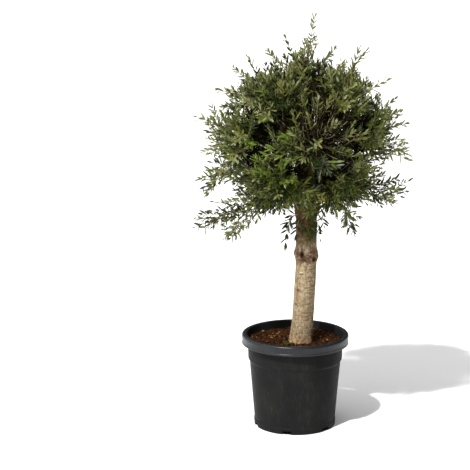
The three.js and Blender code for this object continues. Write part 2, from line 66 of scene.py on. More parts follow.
# Camera: the photograph's viewpoint
IMAGE_SIDE = 470
FOCAL_PIXELS = 1800
SENSOR_WIDTH_MM = 36
CAMERA_PLACE = (-0.2258, -6.5058, 2.1764)
CAMERA_PITCH = -12.557

# Light: a soft sun from the front left, and a surround that is bright above and to the left
SUN_WAY = (0.42, 0.66, -1.0)
SUN_STRENGTH = 3.9
SUN_ANGLE = 2
SKY_WAY = (-0.66, -0.28, 0.70)
SKY_EVEN_STRENGTH = 0.04
SKY_SIDE_STRENGTH = 1.50
FLOOR_SIDE = 80
FLOOR_COLOR = (0.94, 0.94, 0.94)

# Pot, with what the frame gives of it
POT_RIM_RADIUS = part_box("pot")[1][0]
POT_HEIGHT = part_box("pot")[1][2]
POT_MOUTH_RADIUS = 0.180
POT_COLLAR_BOTTOM = POT_HEIGHT - 0.036
POT_SHOULDER_RADIUS = 0.178
POT_SHOULDER_FOOT_RADIUS = 0.176
POT_SHOULDER_BOTTOM = 0.257
POT_STEP_BOTTOM = 0.248
POT_STEP_RADIUS = 0.1705
POT_FOOT_RADIUS = 0.152
POT_FOOT_HEIGHT = 0.023
POT_FOOT_LEDGE = 0.0022
POT_WALL = 0.003
POT_FLOOR = 0.004
POT_SIDES = 192
POT_ARC_STEPS = 5
POT_COLLAR_GROOVE = 0.0011
POT_COLLAR_BEAD = 0.0065
POT_COLLAR_BROW = 0.0135
# The underside stands on a ring round a hollow, whose upper and lower edges lie so far in from the foot
POT_FOOT_RING = (0.022, 0.020)
POT_FOOT_HOLLOW = 0.0025
POT_SHARP_ANGLE = 32
# Each plastic: its two tones, the dust's share, the specular level and the lowest roughness
POT_PLASTICS = {
    "moulded_plastic": ((0.0088, 0.0089, 0.0089), (0.0142, 0.0143, 0.0139), 0.34, 0.03, 0.36),
    "moulded_rim": ((0.0064, 0.0071, 0.0087), (0.0120, 0.0132, 0.0161), 0.18, 0.32, 0.22),
}
POT_DUST = (0.060, 0.058, 0.053)
POT_ROUGHNESS_RANGE = 0.16
POT_DUST_ROUGHNESS = 0.25
SLOT_COUNT = 6
SLOT_SIZE = (0.033, 0.014, 0.028)
SLOT_FIRST_ANGLE = -13

# Soil
SOIL_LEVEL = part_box("soil")[1][2]
SOIL_RADIUS = 0.1745
SOIL_RINGS = 84
SOIL_SIDES = 264
SOIL_RELIEF = 0.0075
SOIL_LUMP_SIZE = 0.014
SOIL_GRAIN_SIZE = 0.0045
SOIL_BROAD_SCALE = 14
SOIL_RELIEF_SHARES = (0.45, 0.4, 0.5)
SOIL_HEAP = 0.005
SOIL_HEAP_RADIUS = 0.075
SOIL_TONES = ((0.0025, 0.0011, 0.0005), (0.025, 0.0092, 0.003))
SOIL_GRAIN = (0.066, 0.026, 0.009)
SOIL_FLECK = (0.24, 0.13, 0.055)
# Soil below the surface, seen only through the drain slots and gaps in the pot, is painted near black:
# painted shade
BURIED_SOIL_SHADE = (0.003, 0.002, 0.0015)
BURIED_SOIL_SHADE_DEPTHS = (0.02, 0.03)
CRUMB_COUNT = 1500
CRUMB_SIZES = (0.0016, 0.0062)
CRUMB_STRETCHES = ((0.6, 1.5), (0.5, 1.1), (0.3, 0.8))
CRUMB_PULL = 0.35
CRUMB_LIFT = 0.2
CRUMB_SPREAD = 0.985
CRUMB_TONES = {
    "crumb_dark": (0.009, 0.004, 0.002),
    "crumb_brown": (0.040, 0.016, 0.006),
    "crumb_red": (0.095, 0.036, 0.012),
    "crumb_tan": (0.230, 0.125, 0.052),
    "crumb_moss": (0.052, 0.058, 0.008),
}
# A random number under the first limit gives a dark crumb, under the second a brown one, and so on
CRUMB_LIMITS = (0.46, 0.80, 0.955)
MOSS_COUNT = 300
MOSS_SIZES = (0.0012, 0.003)
MOSS_LIFT = 0.0006
# Half of the moss lies by the trunk, along X and Y: how far from its foot, and how widely spread.
# The other half lies along the pot's front
MOSS_BY_TRUNK = ((-0.050, 0.030), (-0.020, 0.060))
MOSS_FRONT_ANGLES = (200, 345)
MOSS_FRONT_REACH = (0.150, 0.171)

# Trunk, as the part has it
TRUNK_FOOT = (0.020, -0.027)
TRUNK_LEAN = (0.018, 0.017)
TRUNK_LEAN_TOP = 0.640
TRUNK_LEAN_EASE = 0.35
TRUNK_TOP = 0.872
TRUNK_FOOT_RADIUS = 0.0415
TRUNK_NECK_RADIUS = 0.0387
TRUNK_NECK_HEIGHT = 0.600
ROOT_FLARE = 0.0035
ROOT_FLARE_HEIGHT = 0.026
ROOT_LOBES = 5
ROOT_LOBE_DEPTH = 0.5
KNOT_HEIGHT = 0.661
KNOT_SPREAD = 0.019
KNOT_SWELL = 0.0055
FORK_FLARE = 0.014
FORK_FLARE_START = 0.785
FORK_ROUNDING = 0.42
FORK_ROUNDING_START = 0.846
TRUNK_STEPS = 16

# Boughs, as the part has them
FORK_HEIGHT = 0.822
FORK_COLLAR_LENGTH = 0.074
FORK_TILT = 37
LEADER_RADIUS = 0.025
MAIN_RADIUS = 0.023
SIDE_RADIUS = 0.013
BOUGH_TIP_RADIUS = 0.009
SIDE_COLLAR_PLACE = 0.55
SIDE_COLLAR_LEVELLING = 0.5
COLLAR_CLEARANCE = 0.005
COLLAR_SWELL = 1.15
BOUGH_STEPS = 5
CURVE_PULL = 1 / 3
LOW_STEM_HEIGHT = 0.796
LOW_STEM_COLLAR_LENGTH = 0.088
LOW_STEM_RADIUS = 0.011
FIT_GAP = 0.0003

# Crown, as the part has it
CROWN_CENTRE = Vector((0.025, 0, 1.100))
CROWN_RADII = (0.318, 0.306, 0.300)
RING_COUNT = 4
RING_FIRST_AZIMUTH = 10
MASS_DISTANCE = 0.192
MIDDLE_ELEVATION = 5
LOW_ELEVATION = -42
HIGH_ELEVATION = 43
CELL_MARGIN = 0.0015
CORE_SHARE = 0.64
CORE_LARGEST = 0.090
CORE_SKIN = 0.75
CORE_ENTRY = 0.014
LIMB_CLEARANCE = 0.0025
FIT_TEST_STEP = 0.008
SIDES = ("right", "back", "left", "front")
CORNERS = ("right_back", "left_back", "left_front", "right_front")

# Long shoots: degrees round the crown's centre from +X towards +Z, reach, and depth behind the centre
LONG_SHOOTS = (
    (85, 0.447, 0.010),
    (90, 0.354, -0.060),
    (101, 0.372, 0.070),
    (113, 0.342, -0.040),
    (126, 0.346, 0.040),
    (136, 0.365, -0.050),
    (153, 0.353, 0.060),
    (169, 0.410, -0.020),
    (179, 0.352, 0.060),
    (-172, 0.367, -0.050),
    (-159, 0.372, 0.060),
    (-153, 0.416, -0.070),
    (-141, 0.506, -0.105),
    (-128, 0.454, -0.120),
    (-62, 0.386, -0.110),
    (-46, 0.365, 0.120),
    (-35, 0.395, -0.105),
    (-27, 0.420, -0.090),
    (-10, 0.401, -0.030),
    (5, 0.383, 0.060),
    (15, 0.352, -0.040),
    (21, 0.366, 0.060),
    (35, 0.380, -0.060),
    (53, 0.382, 0.060),
    (59, 0.376, -0.070),
    (70, 0.331, 0.050),
)
TWIG_ENDS = 122
TWIG_END_JITTER = 0.1
TWIG_REACH_VARIATION = 0.13
TWIG_REACH_BIAS = 0.35
TWIG_END_MARGIN = 0.009
TWIG_END_PULLS = 5
TWIG_END_PULL = 0.1
GOLDEN_ANGLE = 137.508
TRUNK_SPACE_ELEVATION = -66
LONG_SHOOT_SPACING = 13
STEM_TIP_RADIUS = 0.006
STEM_OVERRUN = 0.030
STEM_FIRST_TWIG = 0.45
STEM_LAST_TWIG = 0.95
CAD_LEAF_WIDTH = 0.027
SEED = 1213

# Finer twigs: side shoots leave each twig in pairs, each pair turned from the last
TWIG_SAG = 0.05
TWIG_WANDER = 0.05
TWIG_BASE_RADIUS = 0.0027
TWIG_TIP_RADIUS = 0.0010
TWIG_POINTS = 9
TWIG_SIDES = 6
BARE_TIPS = (0.045, 0.085)
LONG_BARE_TIPS = (0.060, 0.125)
BARE_TIP_HEIGHTS = (1.10, 1.36)
SHOOT_FIRST = 0.10
SHOOT_SPACING = 0.0188
SHOOT_SPREADS = (50, 24)
SHOOT_LENGTHS = (0.110, 0.075)
SHOOT_GROWTH = (1.15, 1.0)
SHOOT_GROWTH_HEIGHTS = (1.05, 1.25)
SHOOT_TURN_VARIATION = 0.5
SHOOT_SPREAD_VARIATION = 18
SHOOT_LENGTH_VARIATION = (0.7, 1.3)
SHOOT_PAIR_VARIATION = 0.4
SHOOT_SPACING_VARIATION = (0.8, 1.2)
SHOOT_LIFT_VARIATION = (0.5, 1.3)
SHOOT_CLEARANCE = 0.002
SHOOT_CUT = 0.006
SHOOT_RADIUS = 0.0011
SHOOT_TIP_RADIUS = 0.0007
SHOOT_POINTS = 5
SHOOT_SIDES = 4
SHOOT_OUTWARD = 0.3
SHOOT_LIFTS = (0.1, 1.5)
SHOOT_LIFT_HEIGHTS = (0.88, 1.30)
SHOOT_TURN = 78
SHOOT_SHORTEST = 0.025
SINGLE_SHOOT_SKIN = 0.98
SHOOT_SKIN = 1.0
SHOOT_PAST_ROOT = 0.18
LONG_TWIG_SKIN = 1.1

# The stem of each mass, sunk a little into the limb that carries it
STEM_SINK = 0.004
STEM_STEPS = 8
STEM_SIDES = 10
STEM_END_SHARE = 0.6

# Inner sprays fill the space round each stem
INNER_SPRAYS = 46
INNER_SPRAY_REACH = 1.15
INNER_SPRAY_LENGTHS = (0.070, 0.110)
INNER_SPRAY_ROOTS = (0.15, 0.9)
CARRIER_RADII = (0.0018, 0.0014, 0.0012)

# The crown may pass the part's own box by this much
REACH_ALLOWANCE = 0.008

# Leaves sit in opposite pairs, small at a shoot's foot and tip
LEAF_SPACING = 0.0136
LEAF_LENGTH = 0.031
LEAF_HALF_WIDTH = 0.0042
LEAF_VARIATION = 0.22
LEAF_TEST_PLACES = (0.3, 0.65, 1.0)
LEAF_SPREADS = (52, 28)
LEAF_SPREAD_VARIATION = 16
LEAF_TURN_VARIATION = 0.35
PAIR_TURN_VARIATION = 0.3
PAIR_SPACING_VARIATION = (0.85, 1.15)
PAIR_END_MARGIN = 0.001
FIRST_LEAF_SIZE = 0.66
LEAF_GROWTH = 1.3
TIP_SHRINK = 0.45
TIP_SHRINK_ZONE = (0.78, 1.05)
TIP_LEAF_SIZE = 0.55
# How far along a shoot its first leaves sit: the least, and a random part
SHOOT_LEAVES_START = (0.008, 0.006)
SHOOT_LEAF_SIZES = (0.85, 1.1)
BLUISH_LEAF_SIZE = 1.3
TWIG_LEAVES_BACK = 0.03
TWIG_LEAVES_LEAST = 0.02
TWIG_LEAF_SPACING = LEAF_SPACING * 0.86
TWIG_LEAF_SIZE = 1.04
LEAF_ROLL = 24
LEAF_LIGHT_PULL = 0.55
LEAF_BEND = 0.09
LEAF_BEND_VARIATION = (0.2, 1.6)
LEAF_WIDTH_POWER = 0.7
LEAF_STATIONS = ((0.20, 0.66), (0.48, 1.0), (0.78, 0.68))
LEAF_RIDGE = 0.22
LEAF_CLEARANCE = 0.001

# Small shoots that hang from the trunk's upper part: height, degrees from +X, length and droop
TRUNK_SPRIGS = (
    (0.812, 215, 0.105, 1.1),
    (0.800, 238, 0.070, 0.8),
    (0.790, 316, 0.050, 0.5),
    (0.762, 300, 0.034, 0.2),
    (0.775, 262, 0.030, 0.1),
    (0.748, 330, 0.040, 0.6),
    (0.800, 20, 0.060, 0.6),
    (0.780, 95, 0.055, 0.5),
    (0.806, 150, 0.070, 0.7),
)
SPRIG_SINK = 0.003
SPRIG_RISE = 0.1
# How far out its middle and its end lie, for its length
SPRIG_OUT = (0.45, 0.55)
SPRIG_RADII = (0.0016, 0.0006)
SPRIG_SIDES = 5
# Where the first leaves sit, the spacing and the leaves' size
SPRIG_LEAVES = (0.014, 0.015, 1.25)

# Leaf colours: the upper side and the underside of each tone
LEAF_TONES = {
    "olive": ((0.075, 0.101, 0.0095), (0.116, 0.128, 0.040)),
    "deep": ((0.018, 0.029, 0.004), (0.046, 0.053, 0.018)),
    "grey": ((0.124, 0.134, 0.040), (0.175, 0.182, 0.080)),
    "yellow": ((0.120, 0.130, 0.016), (0.150, 0.155, 0.050)),
    "fresh": ((0.084, 0.126, 0.010), (0.120, 0.155, 0.030)),
    "bluish": ((0.038, 0.056, 0.022), (0.084, 0.100, 0.050)),
    # The inner tone is near black: painted shade on leaves deep in the crown
    "inner": ((0.010, 0.008, 0.003), (0.020, 0.017, 0.008)),
    # The pale tone is a painted highlight: the sun's sheen on waxy leaves
    "highlight_pale": ((0.170, 0.186, 0.058), (0.200, 0.206, 0.088)),
}
TONE_NAMES = tuple(LEAF_TONES)
COMMON_TONES = (("olive", 0.42), ("deep", 0.74), ("grey", 0.87), ("yellow", 1.0))
OUTER_TONES = (("grey", 0.30), ("olive", 0.72), ("deep", 0.86), ("yellow", 1.0))
# Low in the crown the darker tones come more often
LOW_TONES = (("deep", 0.42), ("olive", 0.84), ("grey", 0.93), ("yellow", 1.0))
LOW_TONES_HEIGHT = 0.96
# Outside this share of the crown's reach a share of the sprays takes the pale tone, the more the higher they
# are: a painted highlight, lighter where the sun falls
OUTER_REACH = 0.88
HIGHLIGHT_PALE_SHARES = (0.04, 0.50)
HIGHLIGHT_PALE_HEIGHTS = (0.95, 1.32)
# Sprays of one colour, each round a place: centre, radius, tone and share of the sprays there
TONE_PATCHES = (
    ((-0.150, -0.215, 1.065), 0.075, "fresh", 0.75),
    ((-0.060, -0.245, 1.065), 0.080, "fresh", 0.80),
    ((0.217, -0.190, 1.194), 0.055, "fresh", 0.30),
    ((0.082, -0.250, 1.011), 0.060, "bluish", 0.80),
    # This patch lays the near-black inner tone in the crown's front hollow: painted shade
    ((0.076, -0.210, 1.117), 0.100, "inner", 0.85),
)
# Inside this share of the crown's reach most sprays take the near-black inner tone: painted shade
SHADED_CORE_REACH = 0.72
SHADED_CORE_SHARE = 0.82
# A hollow in the crown's front, where only the dark inside shows, darkened further by the inner patch's
# painted shade
CROWN_HOLLOW = ((0.076, -0.260, 1.117), 0.105)
CROWN_HOLLOW_SHARE = 0.58
# Specular level: most tones share one
LEAF_SHEEN = 0.30
LEAF_SHEENS = {"inner": 0.04, "deep": 0.16}
# Each side of a leaf: its place among a tone's colours, name ending, roughness and share of the sheen
LEAF_SIDES = ((0, "", 0.42, 1), (1, "_under", 0.65, 0.7))

# Twigs and shoots, inside the crown and outside: colour, roughness and specular level. The dark wood inside
# the crown is painted shade
WOODS = {
    "shaded_inner_wood": ((0.070, 0.046, 0.027), 0.85, 0.2),
    "twig_wood": ((0.180, 0.128, 0.078), 0.8, 0.3),
    "young_shoot": ((0.320, 0.255, 0.130), 0.6, 0.4),
}
# Their slots in a mesh, in the same order
SHADED_WOOD, TWIG_WOOD, YOUNG_WOOD = range(3)
# Shoots that end inside this share of the crown's reach take the dark inner wood: painted shade
SHADED_WOOD_REACH = 0.74

WELD_ANGLE = radians(60)


def random_stream(seed):
    """Seeded numbers from 0 to 1"""
    state = seed
    while True:
        state = (state * 1664525 + 1013904223) % 2**32
        yield state / 2**32


draw = random_stream(SEED).__next__


def direction(azimuth, elevation):
    level = cos(radians(elevation))
    east = cos(radians(azimuth))
    north = sin(radians(azimuth))
    return Vector((level * east, level * north, sin(radians(elevation))))


def turned(way, side, spread):
    """A way turned towards a side, by degrees"""
    return way * cos(radians(spread)) + side * sin(radians(spread))


def smoothstep(value, low, high):
    share = min(max((value - low) / (high - low), 0), 1)
    return share * share * (3 - 2 * share)


def lerp(low, high, share):
    return low + (high - low) * share


UP = Vector((0, 0, 1))


# Curves and stretches of limb
class Curve:
    """A cubic curve, read by its share of its own length"""

    STEPS = 200

    def __init__(self, start, start_way, end, end_way):
        pull = (end - start).length * CURVE_PULL
        self.corners = (start, start + start_way * pull, end - end_way * pull, end)
        places = [self.at(i / self.STEPS) for i in range(self.STEPS + 1)]
        steps = [0] + [(b - a).length for a, b in zip(places, places[1:])]
        self.lengths = np.cumsum(steps)

    def at(self, t):
        a, b, c, d = self.corners
        s = 1 - t
        return a * s**3 + b * (3 * s * s * t) + c * (3 * s * t * t) + d * t**3

    def parameter(self, share):
        return float(np.interp(share * self.lengths[-1], self.lengths, np.linspace(0, 1, self.STEPS + 1)))

    def point(self, share):
        return self.at(self.parameter(share))

    def tangent(self, share):
        t = self.parameter(share)
        return (self.at(min(t + 1e-4, 1)) - self.at(max(t - 1e-4, 0))).normalized()


limb_stretches = []


def add_stretch(start, end, radius):
    limb_stretches.append((start, end, radius))


def clear_of_limbs(place, gap):
    for start, end, radius in limb_stretches:
        along = end - start
        share = min(max((place - start).dot(along) / along.length_squared, 0), 1)
        if (start + along * share - place).length <= radius + gap:
            return False
    return True


# Trunk
def trunk_centre(height):
    rise = (height - SOIL_LEVEL) / (TRUNK_TOP - SOIL_LEVEL)
    lean_share = min((height - SOIL_LEVEL) / (TRUNK_LEAN_TOP - SOIL_LEVEL), 1)
    lean = lean_share * (1 + TRUNK_LEAN_EASE * (1 - lean_share))
    return Vector((TRUNK_FOOT[0] + TRUNK_LEAN[0] * lean, TRUNK_FOOT[1] + TRUNK_LEAN[1] * rise, height))


def trunk_radius(height, angle):
    rise = min(max((height - SOIL_LEVEL) / (TRUNK_NECK_HEIGHT - SOIL_LEVEL), 0), 1)
    even = lerp(TRUNK_FOOT_RADIUS, TRUNK_NECK_RADIUS, rise)
    lobes = 1 - ROOT_LOBE_DEPTH * cos(ROOT_LOBES * angle)
    flare = ROOT_FLARE * lobes * exp(-(height - SOIL_LEVEL) / ROOT_FLARE_HEIGHT)
    knot = KNOT_SWELL * exp(-(((height - KNOT_HEIGHT) / KNOT_SPREAD) ** 2))
    fork = FORK_FLARE * smoothstep(height, FORK_FLARE_START, TRUNK_TOP)
    rounding = 1 - FORK_ROUNDING * smoothstep(height, FORK_ROUNDING_START, TRUNK_TOP)
    return (even + flare + knot + fork) * rounding


# Crown cells
def place_mass(name, azimuth, elevation):
    facing = direction(azimuth, elevation)
    return SimpleNamespace(
        name=f"foliage_{name}",
        facing=facing,
        centre=CROWN_CENTRE + facing * MASS_DISTANCE,
        twig_ends=[],
    )


def ring_azimuth(k):
    return RING_FIRST_AZIMUTH + 360 / RING_COUNT * k


def corner_azimuth(k):
    return ring_azimuth(k) + 180 / RING_COUNT


middle_masses = [place_mass(n, ring_azimuth(k), MIDDLE_ELEVATION) for k, n in enumerate(SIDES)]
high_masses = [place_mass(f"{n}_high", corner_azimuth(k), HIGH_ELEVATION) for k, n in enumerate(CORNERS)]
low_masses = [place_mass(f"{n}_low", corner_azimuth(k), LOW_ELEVATION) for k, n in enumerate(CORNERS)]
top_mass = place_mass("top", 0, 90)
masses = [*middle_masses, *high_masses, *low_masses, top_mass]
for mass in masses:
    mass.walls = []
    for other in masses:
        if other is not mass:
            normal = (other.centre - mass.centre).normalized()
            mass.walls.append((normal, (mass.centre + other.centre) / 2))


def inside_cell(mass, place, margin):
    return all(normal.dot(place - halfway) < -margin for normal, halfway in mass.walls)


def body_reach(way):
    a, b, c = CROWN_RADII
    return 1 / hypot(way.x / a, way.y / b, way.z / c)


def skin_share(place):
    """How far out a place lies: 0 at the crown's centre, 1 at its skin"""
    way = place - CROWN_CENTRE
    return way.length / body_reach(way.normalized())


def core_radius(mass, way):
    radius = CORE_LARGEST
    for normal, halfway in mass.walls:
        closing = normal.dot(way)
        if closing > 0:
            radius = min(radius, CORE_SHARE * normal.dot(halfway - mass.centre) / closing)
    while skin_share(mass.centre + way * radius) > CORE_SKIN:
        radius -= 0.001
    return radius


# Boughs
def add_collar(start, way, length, radius):
    end = start + way * length
    add_stretch(start, end, radius * COLLAR_SWELL)
    tubes.append(([start, end], [radius * COLLAR_SWELL, radius]))
    return end


def make_bough(start, way, radius, mass):
    entry_way = (mass.centre - start).normalized()
    entry = mass.centre - entry_way * (core_radius(mass, -entry_way) + CORE_ENTRY)
    curve = Curve(start + way * FIT_GAP, way, entry, entry_way)
    points = [curve.point(i / BOUGH_STEPS) for i in range(BOUGH_STEPS + 1)]
    radii = [lerp(radius, BOUGH_TIP_RADIUS, i / BOUGH_STEPS) for i in range(BOUGH_STEPS + 1)]
    for i in range(BOUGH_STEPS):
        add_stretch(points[i], points[i + 1], radii[i])
    fine = 3 * BOUGH_STEPS
    tubes.append((
        [curve.point(i / fine) for i in range(fine + 1)],
        [lerp(radius, BOUGH_TIP_RADIUS, i / fine) for i in range(fine + 1)],
    ))
    mass.stem_start = entry + entry_way * FIT_GAP
    mass.stem_way = entry_way
    mass.stem_radius = BOUGH_TIP_RADIUS
    return SimpleNamespace(curve=curve, radius=radius)


def add_side_collar(bough, mass):
    start = bough.curve.point(SIDE_COLLAR_PLACE)
    parent_way = bough.curve.tangent(SIDE_COLLAR_PLACE)
    way = (mass.centre - start).normalized()
    way = (way - parent_way * (way.dot(parent_way) * SIDE_COLLAR_LEVELLING)).normalized()
    angle = way.angle(parent_way)
    parent_radius = lerp(bough.radius, BOUGH_TIP_RADIUS, SIDE_COLLAR_PLACE)
    length = (parent_radius + SIDE_RADIUS * cos(angle) + COLLAR_CLEARANCE) / sin(angle)
    return add_collar(start, way, length, SIDE_RADIUS), way


tubes = []
trunk_step = (TRUNK_TOP - SOIL_LEVEL) / TRUNK_STEPS
for i in range(TRUNK_STEPS):
    low = SOIL_LEVEL + i * trunk_step
    widest = max(trunk_radius(low, 0), trunk_radius(low + trunk_step, 0))
    add_stretch(trunk_centre(low), trunk_centre(low + trunk_step), widest)

fork_point = trunk_centre(FORK_HEIGHT)
make_bough(add_collar(fork_point, UP, FORK_COLLAR_LENGTH, LEADER_RADIUS), UP, LEADER_RADIUS, top_mass)
for k in range(RING_COUNT):
    way = direction(ring_azimuth(k), 90 - FORK_TILT)
    start = add_collar(fork_point, way, FORK_COLLAR_LENGTH, MAIN_RADIUS)
    main = make_bough(start, way, MAIN_RADIUS, middle_masses[k])
    side_start, side_way = add_side_collar(main, high_masses[k])
    make_bough(side_start, side_way, SIDE_RADIUS, high_masses[k])
for mass in low_masses:
    root = trunk_centre(LOW_STEM_HEIGHT)
    mass.stem_way = (mass.centre - root).normalized()
    collar_end = add_collar(root, mass.stem_way, LOW_STEM_COLLAR_LENGTH, LOW_STEM_RADIUS)
    mass.stem_start = collar_end + mass.stem_way * FIT_GAP
    mass.stem_radius = LOW_STEM_RADIUS


def fits(mass, start, end, half_width):
    """True where a straight twig stays in its mass's cell and off every limb"""
    steps = ceil((end - start).length / FIT_TEST_STEP)
    for i in range(steps + 1):
        place = start.lerp(end, i / steps)
        width = half_width * sin(pi * i / steps)
        if not clear_of_limbs(place, width + LIMB_CLEARANCE):
            return False
        if not inside_cell(mass, place, width + CELL_MARGIN):
            return False
    return True


# Twig ends: the long shoots, and then ends spread evenly over the crown
def twig_ends():
    ends = []
    for angle, reach, depth in LONG_SHOOTS:
        x = CROWN_CENTRE.x + reach * cos(radians(angle))
        z = CROWN_CENTRE.z + reach * sin(radians(angle))
        ends.append(Vector((x, depth, z)))
    long_ways = [(end - CROWN_CENTRE).normalized() for end in ends]
    for i in range(TWIG_ENDS):
        way = direction(i * GOLDEN_ANGLE, degrees(asin(1 - (2 * i + 1) / TWIG_ENDS)))
        jitter = Vector((draw() - 0.5, draw() - 0.5, draw() - 0.5))
        way = (way + jitter * TWIG_END_JITTER).normalized()
        reach = body_reach(way) * (1 + TWIG_REACH_VARIATION * (draw() - TWIG_REACH_BIAS))
        near_trunk = way.z < sin(radians(TRUNK_SPACE_ELEVATION))
        near_long = any(other.angle(way) < radians(LONG_SHOOT_SPACING) for other in long_ways)
        if not near_trunk and not near_long:
            ends.append(CROWN_CENTRE + way * reach)
    return ends


def share_out_twig_ends():
    for end in twig_ends():
        mass = min(masses, key=lambda one: (one.centre - end).length)
        middle = mass.centre + mass.facing * (end - mass.centre).length
        for _ in range(TWIG_END_PULLS):
            if inside_cell(mass, end, TWIG_END_MARGIN):
                break
            end = end.lerp(middle, TWIG_END_PULL)
        mass.twig_ends.append(end)


# Meshes
def add_object(name, data):
    made = bpy.data.objects.new(name, data)
    bpy.context.scene.collection.objects.link(made)
    return made


def new_object(name, mesh, replaced=()):
    made = add_object(name, mesh)
    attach(made, "root")
    if replaced:
        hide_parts(*replaced)
    return made


def mesh_from(name, points, faces, materials, slots=None):
    mesh = bpy.data.meshes.new(name)
    mesh.from_pydata(points, [], faces)
    for material in materials:
        mesh.materials.append(material)
    if slots is not None:
        mesh.polygons.foreach_set("material_index", np.asarray(slots, np.int32))
    mesh.shade_smooth()
    mesh.set_sharp_from_angle(angle=WELD_ANGLE)
    mesh.update()
    return mesh


class Batch:
    """Points and faces of many small bodies, gathered for one mesh"""

    def __init__(self):
        self.points = []
        self.faces = []
        self.slots = []
        self.count = 0

    def add(self, points, faces, slot=0):
        self.points.append(points)
        self.faces += [tuple(i + self.count for i in face) for face in faces]
        self.slots += [slot] * len(faces)
        self.count += len(points)

    def mesh(self, name, materials):
        return mesh_from(name, np.concatenate(self.points).tolist(), self.faces, materials, self.slots)


def ring_faces(first, rings, sides):
    """Quads between rings of points, each ring after the last"""
    faces = []
    for low in range(first, first + (rings - 1) * sides, sides):
        for i in range(sides):
            j = (i + 1) % sides
            faces.append((low + i, low + j, low + sides + j, low + sides + i))
    return faces


def tube(points, radii, sides):
    """A closed tube along points: a flat start, and a pointed end"""
    points = np.array([tuple(p) for p in points])
    steps = np.diff(points, axis=0)
    ways = steps / np.linalg.norm(steps, axis=1)[:, None]
    tangents = np.vstack([ways[:1], ways[1:] + ways[:-1], ways[-1:]])
    tangents /= np.linalg.norm(tangents, axis=1)[:, None]
    helper = (0, 0, 1) if abs(tangents[0][2]) < 0.9 else (1, 0, 0)
    normal = np.cross(tangents[0], helper)
    turns = np.linspace(0, 2 * pi, sides, endpoint=False)
    rings = []
    for centre, tangent, radius in zip(points, tangents, radii):
        normal = normal - tangent * normal.dot(tangent)
        normal /= np.linalg.norm(normal)
        binormal = np.cross(tangent, normal)
        rings.append(centre + radius * (np.cos(turns)[:, None] * normal + np.sin(turns)[:, None] * binormal))
    tip = points[-1] + tangents[-1] * radii[-1]
    faces = [tuple(reversed(range(sides))), *ring_faces(0, len(points), sides)]
    last = (len(points) - 1) * sides
    faces += [(last + i, last + (i + 1) % sides, last + sides) for i in range(sides)]
    return np.vstack([*rings, tip]), faces


def read_vectors(items, name):
    values = np.empty(len(items) * 3, np.float32)
    items.foreach_get(name, values)
    return values.reshape(-1, 3)


def apply_modifier(subject, kind, **settings):
    modifier = subject.modifiers.new(kind.lower(), kind)
    for name, value in settings.items():
        setattr(modifier, name, value)
    depsgraph = bpy.context.evaluated_depsgraph_get()
    made = bpy.data.meshes.new_from_object(subject.evaluated_get(depsgraph))
    subject.modifiers.clear()
    old = subject.data
    subject.data = made
    bpy.data.meshes.remove(old)


# Shader nodes
def add_node(tree, kind, inputs=(), **settings):
    """A shader node of a kind, with each input linked to a socket or set to a value"""
    made = tree.nodes.new(f"ShaderNode{kind}")
    for name, value in settings.items():
        setattr(made, name, value)
    for name, value in dict(inputs).items():
        if isinstance(value, bpy.types.NodeSocket):
            tree.links.new(value, made.inputs[name])
        else:
            made.inputs[name].default_value = value
    return made


def new_material(name, color=None, roughness=0.6, specular=0.5):
    material = bpy.data.materials.new(name)
    material.use_nodes = True
    shader = material.node_tree.nodes["Principled BSDF"]
    shader.inputs["Roughness"].default_value = roughness
    shader.inputs["Specular IOR Level"].default_value = specular
    if color:
        shader.inputs["Base Color"].default_value = (*color, 1)
    return material, material.node_tree, shader


def object_place(tree, scale=(1, 1, 1)):
    place = add_node(tree, "TexCoord").outputs["Object"]
    return add_node(tree, "Mapping", {"Vector": place, "Scale": scale}).outputs["Vector"]


def noise_value(tree, stretch, scale, detail=4, roughness=0.55):
    inputs = {"Vector": object_place(tree, stretch), "Scale": scale, "Detail": detail, "Roughness": roughness}
    return add_node(tree, "TexNoise", inputs).outputs["Fac"]


def remap(value, low, high, new_low=0.0, new_high=1.0):
    inputs = {"Value": value, "From Min": low, "From Max": high, "To Min": new_low, "To Max": new_high}
    return add_node(value.id_data, "MapRange", inputs).outputs["Result"]


def blend(share, first, second):
    """The first colour where share is 0 and the second where it is 1"""
    colours = [(*c, 1) if isinstance(c, tuple) else c for c in (first, second)]
    inputs = {0: share, 6: colours[0], 7: colours[1]}
    return add_node(share.id_data, "Mix", inputs, data_type="RGBA").outputs[2]


def paint_over(colour, coats):
    """A colour under coats, each with its share and its own colour"""
    for share, coat in coats:
        colour = blend(share, colour, coat)
    return colour


def times(first, second):
    return add_node(first.id_data, "Math", {0: first, 1: second}, operation="MULTIPLY").outputs[0]


def plus(first, second):
    return add_node(first.id_data, "Math", {0: first, 1: second}, operation="ADD").outputs[0]


def height_value(tree):
    place = add_node(tree, "TexCoord").outputs["Object"]
    return add_node(tree, "SeparateXYZ", {"Vector": place}).outputs["Z"]


def side_value(tree, side):
    """How far a surface faces one side: 1 straight towards it and -1 away from it"""
    normal = add_node(tree, "NewGeometry").outputs["Normal"]
    facing = add_node(tree, "VectorMath", {0: normal, 1: side}, operation="DOT_PRODUCT")
    return facing.outputs["Value"]


def near_value(tree, centre, inner, outer, stretch=(1, 1, 1)):
    """1 within the inner distance of a place and 0 beyond the outer one, in a stretched space"""
    inputs = {0: object_place(tree, stretch), 1: [c * s for c, s in zip(centre, stretch)]}
    distance = add_node(tree, "VectorMath", inputs, operation="DISTANCE").outputs["Value"]
    return remap(distance, inner, outer, 1.0, 0.0)


def add_bump(tree, shader, height, distance, strength=1.0):
    inputs = {"Height": height, "Distance": distance, "Strength": strength}
    bump = add_node(tree, "Bump", inputs)
    tree.links.new(bump.outputs["Normal"], shader.inputs["Normal"])


